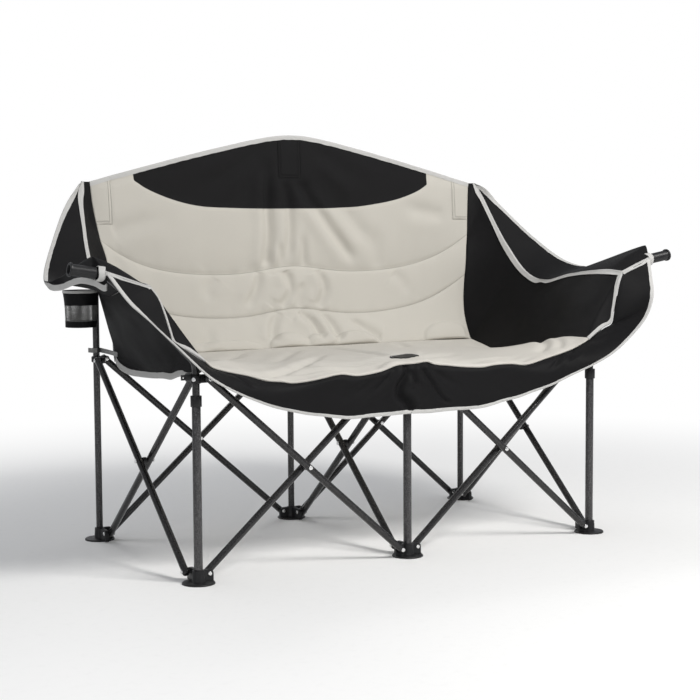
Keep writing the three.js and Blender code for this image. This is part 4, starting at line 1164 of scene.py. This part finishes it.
def ridgeTape(side, word):
    t = np.linspace(0.004, 1, 180)
    knot = np.exp(-((t - 0.625) / 0.02) ** 2)
    breadth = along(ridgeBreadth, t) * (1 - 0.62 * knot)
    place = np.interp(t, sideRun, np.linspace(0, 1, len(sideRun)))
    columns = resampled(sideMade[word][1][::-1][:14].transpose(1, 0, 2), place)
    inner = [stepsIn([line], [w, 0.66 * w, 0.33 * w, 0.3])[0] for line, w in zip(columns, breadth)]
    columns = resampled(wingMade[word][1][:14].transpose(1, 0, 2), t)
    outer = [stepsIn([line], [0.3, 0.22 * w, 0.45 * w])[0] for line, w in zip(columns, breadth)]
    inner, outer = np.array(inner), np.array(outer)
    waver = lineNoise(np.arange(len(t)) / 9, 3.0 + side, 0)
    top = (inner[:, -1] + outer[:, 0]) / 2
    top = top + np.array([-0.4, 0, 1.0]) * (1.6 + 1.2 * waver + 2.5 * knot)[:, None]
    layers = np.concatenate([inner, top[:, None], outer], axis=1)
    puff = np.zeros(layers.shape[:2])
    puff[:, 0] = 0.8 + 1.2 * np.maximum(waver, 0)
    puff[:, 1] = 0.5 + 0.6 * np.maximum(waver, 0)
    return tapeOver(word + "RidgeTape", layers, np.array([-0.6, -0.2, 1.0]), side, 2.0 + side, puff)


def makeTapes(side, word):
    sideGrid, wingGrid = sideMade[word][1], wingMade[word][1]
    rising = skirtPoints[:, skirtPoints.shape[1] // 2:]
    armRun = rising[:, np.linspace(0, 1, rising.shape[1]) > 0.875]
    # the webbing at the back's lower corner lies on the outside of the panel
    cornerRun = sideGrid[:, 57:72] + np.array([2.6, 0, 0])
    bands = [
        ("WingTape", wingGrid[::-1].transpose(1, 0, 2), 12, tape["half"], 4.0, tapeCloth),
        ("WingFrontTape", wingGrid[:42, ::-1], 5.5, tape["half"], 5.0, tapeCloth),
        ("SideSeamTape", sideGrid[7:, ::-1], 8, 2.6, 6.0, tapeCloth),
        ("SideHemTape", sideGrid[:, 71:].transpose(1, 0, 2), 13, tape["half"], 8.0, tapeCloth),
        ("SkirtArmTape", armRun.transpose(1, 0, 2), 5.5, tape["half"], 7.0, tapeCloth),
        ("CornerWebbing", cornerRun.transpose(1, 0, 2), 11, 1.0, 13.0, webbing),
    ]
    return [ridgeTape(side, word)] + [
        bandAlong(word + name, columns, side, reach, half, seed + side, material=material)
        for name, columns, reach, half, seed, material in bands
    ]


topTape = makeTopTape()
hemTape = bandAlong("skirtHemTape", skirtPoints[::-1].transpose(1, 0, 2), 1, 8, seed=6.0)
tapes = {word: makeTapes(side, word) for side, word in sides}
print("tapes made")

stitch = {
    "pitch": 4.2, "share": 0.68, "lift": 0.15, "ends": (0.22, 0.78),
    "section": ((0.45, 0), (0, 0.42), (-0.45, 0), (0, -0.3)),
}
backSurface = surfaceSampler(backFront, (0, 2))


def stitchRun(name, lines, material):
    # short threads laid along lines on the front of the back
    vertices, faces = [], []
    for line in np.array(lines, float):
        run = runOf(line)
        for start in np.arange(0.6, run[-1] - 3, stitch["pitch"]):
            ends = []
            for s in (start, start + stitch["pitch"] * stitch["share"]):
                place, normal = backSurface(*(np.interp(s, run, line[:, k]) for k in range(2)))
                normal = normal * (1 if normal[1] < 0 else -1)
                ends.append((place + normal * stitch["lift"], normal))
            (p0, normal), (p1, _) = ends
            across = unit(np.cross(unit(p1 - p0), normal))
            first = len(vertices)
            vertices.append(p0)
            for share in stitch["ends"]:
                vertices += [mix(p0, p1, share) + across * w + normal * h for w, h in stitch["section"]]
            vertices.append(p1)
            for i in range(4):
                a, b = first + 1 + i, first + 1 + (i + 1) % 4
                faces += [(first, b, a), (a, b, b + 4, a + 4), (first + 9, a + 4, b + 4)]
    piece = newPiece(name, placed(vertices), faces, material)
    facingOut(piece)
    return piece


# both pockets' seams are stitched twice
(left, low), (right, _) = pockets["middle"]
middleStitch = stitchRun("middlePocketStitches", [
    [(left + inset, 972), (left + inset, low + inset), (right - inset, low + inset), (right - inset, 972)]
    for inset in (0, 7)
], blackCloth)
sideCorners = ((-1, pockets["left"][1][0], pockets["left"][0][1], 872), (1, *pockets["right"][0], 868))
sideStitch = stitchRun("sidePocketStitches", [
    [(edge + side * inset, top), (edge + side * inset, low + inset), (side * 531, low + inset)]
    for inset in (0, 6) for side, edge, low, top in sideCorners
], threadCloth)
print("stitches made")

# Sleeves behind the back that take the tops of the poles: straight, then closed over the top
sleeve = {"depth": 95, "radius": 11.6, "flange": 12, "thick": 1.4, "straight": 0.86, "round": 0.62}


def makeSleeve(column):
    low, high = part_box(f"rear_{column}_pole_cap")
    centreX, centreY = (low.x + high.x) * 500, ((low.y + high.y) / 2 - frontRow) * 1000
    top, bottom = high.z * 1000 + 2.5, high.z * 1000 - sleeve["depth"]
    wall = centreY - sling["midPlane"] - 3.4
    t = np.linspace(-1, 1, 31)
    angle = np.clip(t / sleeve["round"], -1, 1) * math.pi * 0.60
    run = np.maximum((np.abs(t) - sleeve["round"]) / (1 - sleeve["round"]), 0)
    rows = []
    for k in range(25):
        share = k / 24
        over = max((share - sleeve["straight"]) / (1 - sleeve["straight"]), 0)
        close = math.sqrt(max(1 - over**2, 0))
        slack = 1 + 0.05 * math.sin(9 * share + centreX)
        radius = sleeve["radius"] * slack * (1 + 0.12 * (1 - share)) * max(close, 0.25)
        x = np.sign(t) * mix(radius * np.sin(np.abs(angle)), radius + sleeve["flange"], run)
        y = mix(radius * np.cos(angle) * close - wall * (1 - close), -wall, smooth(0, 0.5, run))
        z = mix(bottom, top, min(share / sleeve["straight"], 1)) + 4.0 * over
        rows.append(np.stack([centreX + x, centreY + y, np.full_like(x, z)], -1))
    return sheetPiece(camel(f"rear_{column}_pole_sleeve"), np.array(rows), sleeve["thick"], blackCloth)


columns = ("left", "middle", "right")
sleeves = [makeSleeve(column) for column in columns]

# Plain oval patch on the seat's front, built from rings round its middle
patch = {
    "place": (4, 17), "half": (38, 19), "around": 48, "rim": (0.91, 0.97), "under": 0.6,
    "rings": [(1.0, 0.2), (0.985, 1.9), (0.94, 2.4)] + [(s, 2.0) for s in (0.88, 0.7, 0.5, 0.3, 0.14)],
}


def makePatch():
    seatSurface = surfaceSampler(seatTop, (0, 1))
    place, half, around = np.array(patch["place"]), np.array(patch["half"]), patch["around"]

    def lifted(spot, lift):
        return seatSurface(*spot)[0] + np.array([0, 0, lift])

    turns = [2 * math.pi * i / around for i in range(around)]
    vertices = [
        lifted(place + half * share * np.array([math.cos(turn), math.sin(turn)]), lift)
        for share, lift in patch["rings"] for turn in turns
    ]
    vertices += [lifted(place, patch["rings"][-1][1]), lifted(place, -patch["under"])]
    count, last = len(vertices), (len(patch["rings"]) - 1) * around
    faces = ringFaces(len(patch["rings"]), around)
    for i in range(around):
        j = (i + 1) % around
        faces += [(last + i, last + j, count - 2), (j, i, count - 1)]
    piece = newPiece("seatPatch", placed(vertices), faces, patchCloth, webbing)
    for face in piece.data.polygons:
        spots = np.array([piece.data.vertices[v].co[:2] for v in face.vertices]) - (0, frontRow)
        radius = np.hypot(*((spots * 1000 - place) / half).T).max()
        face.material_index = int(patch["rim"][0] < radius < patch["rim"][1])
    facingOut(piece)
    return piece


patchPiece = makePatch()

# Mesh cups
cup = {
    "radius": 42, "height": 84, "footShare": 0.86, "band": 0.62, "foot": 0.16, "around": 72, "up": 36,
    "wall": 1.2,
}


def makeCup(word):
    low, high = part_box(word + "_cup_pocket")
    centre = (low + high) / 2
    around, up, height = cup["around"], cup["up"], cup["height"] / 1000
    rows, uv = [], []
    for share in [j / up for j in range(up + 1)]:
        for angle in [2 * math.pi * i / around for i in range(around)]:
            sag = 1 + 0.07 * math.sin(3 * angle + 2 * share) * share * (1 - share)
            sag -= 0.03 * math.sin(math.pi * share) * (1 + math.sin(5 * angle))
            radius = mix(cup["radius"] * cup["footShare"], cup["radius"] - 0.5, share) * sag / 1000
            place = (centre.x + radius * math.cos(angle), centre.y + radius * math.sin(angle))
            rows.append((*place, low.z + height * share))
            uv.append((0.04 * angle, height * share))
    piece = newPiece(word + "Cup", rows, ringFaces(up + 1, around), knitMesh, blackCloth)
    setUv(piece, uv)
    for edge in piece.data.edges:
        edge.select = max(edge.vertices) < around
    for face in piece.data.polygons:
        face.select = False
    for vertex in piece.data.vertices:
        vertex.select = vertex.index < around
    choose(piece)
    setMode("EDIT")
    bpy.ops.mesh.edge_face_add()
    bpy.ops.mesh.inset(thickness=0.004)
    setMode("OBJECT")
    for face in piece.data.polygons:
        middle = sum(piece.data.vertices[v].co.z for v in face.vertices) / len(face.vertices)
        face.material_index = 0 if cup["foot"] < (middle - low.z) / height < cup["band"] else 1
        face.use_smooth = True
    facingOut(piece)
    addWall(piece, cup["wall"] / 1000)
    applyModifiers(piece)
    rim, tapeColumns = cup["radius"] - cup["wall"], []
    for t in np.linspace(0, 2 * math.pi, around + 1):
        x = centre.x * 1000 + rim * math.cos(t)
        y = (centre.y - frontRow) * 1000 + rim * math.sin(t)
        tapeColumns.append([(x, y, low.z * 1000 + cup["height"] + 0.6 - d) for d in (0, 4, 8, 12)])
    return piece, bandAlong(word + "CupTape", tapeColumns, 1, 5, half=0.9, seed=9.0, wobble=0.1)


cups = {word: makeCup(word) for _, word in sides}
print("cups made")

# Webbing straps that tie the side panels to the rear poles, and tape round the arm tubes
strap = {
    "height": 461, "half": 5.5, "thick": 1.4, "pole": 8, "corner": (518, 458), "near": (519, 500),
    "section": ((1, 1), (0.5, 1.2), (-0.5, 1.2), (-1, 1), (-1, -1), (-0.5, -1.2), (0.5, -1.2), (1, -1)),
}
armPost = {
    "bottom": 50, "bendStart": (530, 0, 474), "elbow": (675, 12, 622), "mouth": (722, 25, 665),
    "end": (798, 28, 677), "bendRadius": 0.038, "capDepth": 16,
}
cuff = {"radius": 15.2, "reach": 14, "half": 1.0, "underCap": 2}


def ribbon(name, path, side, tilt):
    # upright webbing along a level path
    path = rail(path, 10)(np.linspace(0, 1, 8 * len(path)))
    out = unit(np.cross(tangents(path), np.array([0, 0, 1.0])))
    rows = []
    for k, p in enumerate(path):
        up = np.array([0, 0, strap["half"]]) + out[k] * tilt * math.sin(k / 5)
        rows.append([p + up * h + out[k] * strap["thick"] / 2 * w for h, w in strap["section"]])
    return stripPiece(name, mirroredGrid(np.array(rows), side), webbing)


def makeStrap(side, name):
    x, y, z = sling["legPitch"], sling["rowPitch"], strap["height"]
    r = strap["pole"] + strap["thick"]
    path = [(*strap["corner"], z - 3), (*strap["near"], z - 1), (x - r - 1.5, y - 12, z)]
    for degrees in (180, 225, 270, 315, 360, 45, 80):
        angle = math.radians(degrees)
        path.append((x + r * math.cos(angle), y - r * math.sin(angle), z + 0.5))
    tail = [(x + 3, y - r - 2.6, z + 1), (x + 12, y - r - 4, z + 1), (x + 24, y - r + 1, z + 2.5)]
    return joinPieces([ribbon(name, path, side, 0.6), ribbon(name + "Tail", tail, side, 0.8)], name)


def makeCuff(side, word):
    # a turn of tape round the arm tube, behind its end cap
    low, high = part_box(word + "_arm_cap")
    start = np.array(armPost["mouth"], float)
    direction = unit(np.array(armPost["end"]) - start)
    capStart = min(abs(low.x), abs(high.x)) * 1000
    start = start + direction * ((capStart - cuff["underCap"] - start[0]) / direction[0])
    flat = unit(np.cross(direction, np.array([0, 0, 1.0])))
    up = np.cross(flat, direction)
    tapeColumns = []
    for t in np.linspace(0, 2 * math.pi, 41):
        spoke = (flat * math.cos(t) + up * math.sin(t)) * cuff["radius"]
        edge = start + direction * math.sin(3 * t) + spoke
        tapeColumns.append([edge - direction * d for d in (0, 5, 10, 15)])
    return bandAlong(
        word + "ArmCuff", tapeColumns, side, cuff["reach"], half=cuff["half"], seed=12.0 + side)


cuffs = {word: makeCuff(side, word) for side, word in sides}


# Frame: round tubes in place of the faceted ones
tubes = {"legRadius": 9.5, "slimRadius": 8.0, "wall": 1.2, "sides": 32}
rivet = {
    "radius": 0.00475, "height": 0.0022, "footHeight": 0.0024, "hubReach": 0.0121, "crossRadius": 0.0050,
    "crossReach": 0.0206, "spacerRadius": 0.0075, "spacerLength": 0.0082,
}
crossing = {
    "span": 480, "rise": 420, "footHeight": 20, "offset": 12.3, "overrun": 9, "ear": 8, "gap": 0.3,
    "rowReach": 25, "sideReach": 40,
}


def uprightTube(node, radius, material):
    # the middle upper tube carries more than a tube, so it takes its centre from the leg it stands in
    low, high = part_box(node)
    middle = sum(legBox if node == "front_middle_upper_tube" else (low, high), Vector()) / 2
    clearSelection()
    bpy.ops.mesh.primitive_cylinder_add(
        vertices=tubes["sides"], radius=radius / 1000, depth=high.z - low.z, end_fill_type="NOTHING",
        location=(middle.x, middle.y, (low.z + high.z) / 2))
    piece = bpy.context.active_object
    piece.name = piece.data.name = camel(node)
    addWall(piece, tubes["wall"] / 1000)
    addRounding(piece, 0.0004, 2, 50)
    finishPiece(piece, material, 40)
    return settle(piece)


def rivetHead(radius, height, place, axis):
    # a domed head whose flat side lies at place and whose top points along axis
    clearSelection()
    turn = Vector(axis).to_track_quat("Z", "Y").to_euler()
    middle = Vector(place) + Vector(axis).normalized() * height / 2
    bpy.ops.mesh.primitive_cylinder_add(
        vertices=24, radius=radius, depth=height, location=middle, rotation=turn)
    piece = bpy.context.active_object
    addRounding(piece, height * 0.85, 4, 60)
    finishPiece(piece, brightZinc, 60)
    return settle(piece)


def crossTubeModel():
    # one tube along X from its foot pivot at 0, ears on its +Y side, with its two end rivets
    length = math.hypot(crossing["span"], crossing["rise"])
    radius = tubes["slimRadius"] / 1000
    clearSelection()
    bpy.ops.mesh.primitive_cylinder_add(
        vertices=tubes["sides"], radius=radius, depth=(length + 2 * crossing["overrun"]) / 1000,
        location=(length / 2000, 0, 0), rotation=(0, math.pi / 2, 0))
    body = bpy.context.active_object
    setMode("EDIT")
    bpy.ops.mesh.select_all(action="DESELECT")
    setMode("OBJECT")
    for face in body.data.polygons:
        face.select = len(face.vertices) > 4
    setMode("EDIT")
    bpy.ops.mesh.inset(thickness=0.0016)
    setMode("OBJECT")
    addRounding(body, 0.0055, 5, 60)
    finishPiece(body, darkSteel, 45)
    pieces = [settle(body)]
    farSide = (tubes["slimRadius"] + 2 * crossing["gap"] + crossing["ear"]) / 1000
    for x in (0, length / 1000):
        pieces.append(rivetHead(rivet["radius"], rivet["footHeight"], (x, -radius + 0.0003, 0), (0, -1, 0)))
        pieces.append(rivetHead(rivet["radius"], rivet["height"], (x, farSide, 0), (0, 1, 0)))
    return joinPieces(pieces, "crossTubeModel")


columnPlace = {"left": -sling["legPitch"], "middle": 0, "right": sling["legPitch"]}
rowPlace = {"front": 0, "rear": sling["rowPitch"]}
crossPairs = [
    ("front_left", ("left", "front"), ("middle", "front"), (0, -1, 0)),
    ("front_right", ("middle", "front"), ("right", "front"), (0, -1, 0)),
    ("rear_left", ("left", "rear"), ("middle", "rear"), (0, 1, 0)),
    ("rear_right", ("middle", "rear"), ("right", "rear"), (0, 1, 0)),
    ("left_side", ("left", "rear"), ("left", "front"), (-1, 0, 0)),
    ("middle", ("middle", "rear"), ("middle", "front"), (-1, 0, 0)),
    ("right_side", ("right", "rear"), ("right", "front"), (1, 0, 0)),
]
bodyOfNode = {n: body for body, members in frame["record"]["behaviour"]["bodies"].items() for n in members}


def standFor(piece, node):
    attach(piece, bodyOfNode[node])
    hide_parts(node)


def corner(place):
    return Vector((columnPlace[place[0]], rowPlace[place[1]], 0))


tubeModel = crossTubeModel()
tiltAngle = math.atan2(crossing["rise"], crossing["span"])
for pairName, start, end, outside in crossPairs:
    startPlace, endPlace, outside = corner(start), corner(end), Vector(outside)
    level = (endPlace - startPlace).normalized()
    reach = crossing["rowReach" if abs(level.x) > abs(level.y) else "sideReach"]
    for half, foot, direction, side in (
        ("outer", endPlace, -level, outside), ("inner", startPlace, level, -outside),
    ):
        run = direction * math.cos(tiltAngle) + Vector((0, 0, math.sin(tiltAngle)))
        turn = Matrix((run, -side, run.cross(-side))).transposed().to_4x4()
        place = foot + direction * reach + side * crossing["offset"]
        place.z = crossing["footHeight"]
        shift = Matrix.Translation((place.x / 1000, place.y / 1000 + frontRow, place.z / 1000))
        node = f"{pairName}_cross_tube_{half}"
        piece = copyOf(tubeModel, camel(node))
        piece.data.transform(shift @ turn)
        standFor(piece, node)
bpy.data.objects.remove(tubeModel)
print("cross tubes made")

for column in columns:
    for node, radius in ((f"front_{column}_leg_tube", "legRadius"), (f"rear_{column}_pole", "slimRadius")):
        standFor(uprightTube(node, tubes[radius], greySteel), node)


def bentTube(name, corners, radius, bendRadius, material):
    # a ring drawn along straight runs and spun round each bend
    corners = [Vector(c) for c in corners]
    clearSelection()
    first = (corners[1] - corners[0]).normalized()
    bpy.ops.mesh.primitive_circle_add(
        vertices=tubes["sides"], radius=radius, location=corners[0],
        rotation=first.to_track_quat("Z", "Y").to_euler())
    piece = settle(bpy.context.active_object)
    setMode("EDIT")
    bpy.ops.mesh.select_all(action="SELECT")
    now = corners[0]
    for last, bend, following in zip(corners, corners[1:], corners[2:]):
        before, after = (bend - last).normalized(), (following - bend).normalized()
        angle = before.angle(after)
        setback = bendRadius * math.tan(angle / 2)
        bendStart = bend - before * setback
        bpy.ops.mesh.extrude_region_move(TRANSFORM_OT_translate={"value": bendStart - now})
        axis = before.cross(after).normalized()
        centre = bendStart + axis.cross(before).normalized() * bendRadius
        bpy.ops.mesh.spin(steps=10, angle=-angle, center=centre, axis=axis)
        now = bend + after * setback
    bpy.ops.mesh.extrude_region_move(TRANSFORM_OT_translate={"value": corners[-1] - now})
    bpy.ops.mesh.select_all(action="SELECT")
    bpy.ops.mesh.remove_doubles(threshold=0.00005)
    setMode("OBJECT")
    facingOut(piece)
    addWall(piece, tubes["wall"] / 1000)
    finishPiece(piece, material, 40)
    piece.name = piece.data.name = name
    return piece


def atLeg(point, side):
    return (side * point[0] / 1000, point[1] / 1000 + frontRow, point[2] / 1000)


hubFastenerTurn = {"left": -45, "middle": 45, "right": 45}


def hubFasteners(column):
    turn = math.radians(hubFastenerTurn[column])
    hub = Vector((columnPlace[column] / 1000, frontRow, sling["hubHeight"] / 1000))
    direction = Vector((-math.sin(turn), math.cos(turn), 0))
    return [
        rivetHead(
            rivet["radius"], rivet["height"], hub + direction * sign * rivet["hubReach"], direction * sign)
        for sign in (-1, 1)
    ]


for side, word in sides:
    end, mouth = Vector(armPost["end"]), Vector(armPost["mouth"])
    stop = end - (end - mouth).normalized() * armPost["capDepth"]
    path = [(sling["legPitch"], 0, armPost["bottom"]), armPost["bendStart"], armPost["elbow"], mouth, stop]
    name = word + "ArmPost"
    post = bentTube(name, [atLeg(p, side) for p in path], tubes["slimRadius"] / 1000,
                    armPost["bendRadius"], darkSteel)
    standFor(joinPieces([post] + hubFasteners(word), name), word + "_arm_post")
upper = uprightTube("front_middle_upper_tube", tubes["slimRadius"], darkSteel)
upper = joinPieces([upper] + hubFasteners("middle"), "frontMiddleUpperTube")
standFor(upper, "front_middle_upper_tube")
print("tubes made")


def smoothCopy(node, bevel=0.0006):
    # the solid itself, cleaned of its triangles, with its edges rounded
    piece = copyOf(frame["nodes"][node], camel(node))
    piece.data.materials.clear()
    choose(piece)
    setMode("EDIT")
    bpy.ops.mesh.select_all(action="SELECT")
    bpy.ops.mesh.remove_doubles(threshold=0.00002)
    bpy.ops.mesh.dissolve_limited(angle_limit=math.radians(1.5))
    setMode("OBJECT")
    addRounding(piece, bevel, 2, 38)
    finishPiece(piece, blackPlastic, 38)
    standFor(piece, node)


for column in columns:
    for row in rowPlace:
        smoothCopy(f"{row}_{column}_foot")
        smoothCopy(f"{row}_{column}_hub")
    smoothCopy(f"front_{column}_leg_collar")
    smoothCopy(f"rear_{column}_pole_cap")
for _, word in sides:
    smoothCopy(f"{word}_arm_cap", 0.0009)
for pairName, start, end, outside in crossPairs:
    node = f"{pairName}_cross_rivet"
    low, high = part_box(node)
    centre, axis = (low + high) / 2, Vector(outside)
    heads = [
        rivetHead(rivet["crossRadius"], rivet["footHeight"], centre + side * rivet["crossReach"], side)
        for side in (-axis, axis)
    ]
    clearSelection()
    bpy.ops.mesh.primitive_cylinder_add(
        vertices=20, radius=rivet["spacerRadius"], depth=rivet["spacerLength"], location=centre,
        rotation=axis.to_track_quat("Z", "Y").to_euler())
    spacer = bpy.context.active_object
    setMode("EDIT")
    bpy.ops.mesh.bevel(offset=0.0008, segments=2, affect="EDGES")
    setMode("OBJECT")
    spacer.data.materials.append(blackPlastic)
    standFor(joinPieces(heads + [settle(spacer)], camel(node)), node)
print("fittings made")


def gathered(piece, node):
    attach(piece, bodyOfNode[node])
    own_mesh(piece)


def clothFor(pieces, node):
    # the first piece stands for the node, the others are sewn to it
    for piece in pieces:
        gathered(piece, node)
    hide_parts(node)


backPieces = [backPiece, topTape, middleStitch, sideStitch, *sleeves]
clothFor(backPieces, "back_panel")
clothFor([seatPiece, patchPiece], "seat_pad")
clothFor([skirtPiece, hemTape], "front_skirt")
for side, word in sides:
    gathered(makeStrap(side, word + "Strap"), f"rear_{word}_pole")
    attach(cuffs[word], bodyOfNode[word + "_arm_post"])
    clothFor([sideMade[word][0]], word + "_side_panel")
    clothFor([wingMade[word][0], *tapes[word]], word + "_wing")
    clothFor(cups[word], word + "_cup_pocket")
print("cloth rides")


# Floor and light
def blendInto(tree, share, first, second, endName):
    blend = addNode(tree, "ShaderNodeMixShader", {0: share, 1: first.outputs[0], 2: second.outputs[0]})
    tree.links.new(blend.outputs[0], tree.nodes[endName].inputs["Surface"])


stageSize = {"floor": 60.0, "fade": (0.9, 2.6)}
white = {"Color": (1, 1, 1, 1), "Strength": 1.0}
clearSelection()
bpy.ops.mesh.primitive_plane_add(size=stageSize["floor"], location=(0, 0, 0))
floor = bpy.context.active_object
floor.name = "floor"
floorMaterial, floorTree, floorShader = newMaterial("floorPaper")
scuff = useGroup(floorTree, plasticGroup, Scale=60.0)["Scuff"]
feed(floorTree, floorShader, {
    "Base Color": mixColours(floorTree, scuff, (0.93, 0.93, 0.925), (0.90, 0.90, 0.895)),
    "Roughness": 0.9, "Specular IOR Level": 0.2,
})
# far from the part the camera sees plain white
distance = addNode(floorTree, "ShaderNodeVectorMath", {0: objectPlace(floorTree)}, operation="LENGTH")
fade = rampNode(floorTree, distance.outputs["Value"], *stageSize["fade"])
floorRays = addNode(floorTree, "ShaderNodeLightPath").outputs
away = mathNode(floorTree, "MULTIPLY", fade, floorRays["Is Camera Ray"])
paperWhite = addNode(floorTree, "ShaderNodeEmission", white)
blendInto(floorTree, away, floorShader, paperWhite, "Material Output")
floor.data.materials.append(floorMaterial)

scene.world = bpy.data.worlds.new("softSky")
scene.world.use_nodes = True
skyTree = scene.world.node_tree
sky = skyTree.nodes["Background"]
feed(skyTree, sky, {"Color": (0.94, 0.96, 1.0, 1), "Strength": 0.38})
rays = addNode(skyTree, "ShaderNodeLightPath").outputs
seen = mathNode(skyTree, "MAXIMUM", rays["Is Camera Ray"], rays["Is Transmission Ray"])
blendInto(skyTree, seen, sky, addNode(skyTree, "ShaderNodeBackground", white), "World Output")

lamps = {
    "key": {"place": (1.1, -2.7, 3.1), "size": 1.1, "power": 122, "colour": (1.0, 0.985, 0.96)},
    "fill": {"place": (-3.0, -2.2, 1.8), "size": 2.6, "power": 9, "colour": (0.97, 0.98, 1.0)},
    "rim": {"place": (-0.6, 3.2, 3.2), "size": 2.0, "power": 42, "colour": (1.0, 1.0, 1.0)},
}
for name, values in lamps.items():
    lampData = bpy.data.lights.new(name, "AREA")
    lampData.energy = values["power"]
    lampData.size = values["size"]
    lampData.color = values["colour"]
    lamp = linked(name, lampData)
    lamp.location = values["place"]
    lamp.rotation_mode = "QUATERNION"
    lamp.rotation_quaternion = (Vector((0, 0, 0.5)) - Vector(values["place"])).to_track_quat("-Z", "Y")
scene.view_settings.view_transform = "Standard"
print("stage set")

# the solids under the pieces carry one plain finish
for solid in frame["nodes"].values():
    solid.data.materials.clear()
    solid.data.materials.append(blackPlastic)
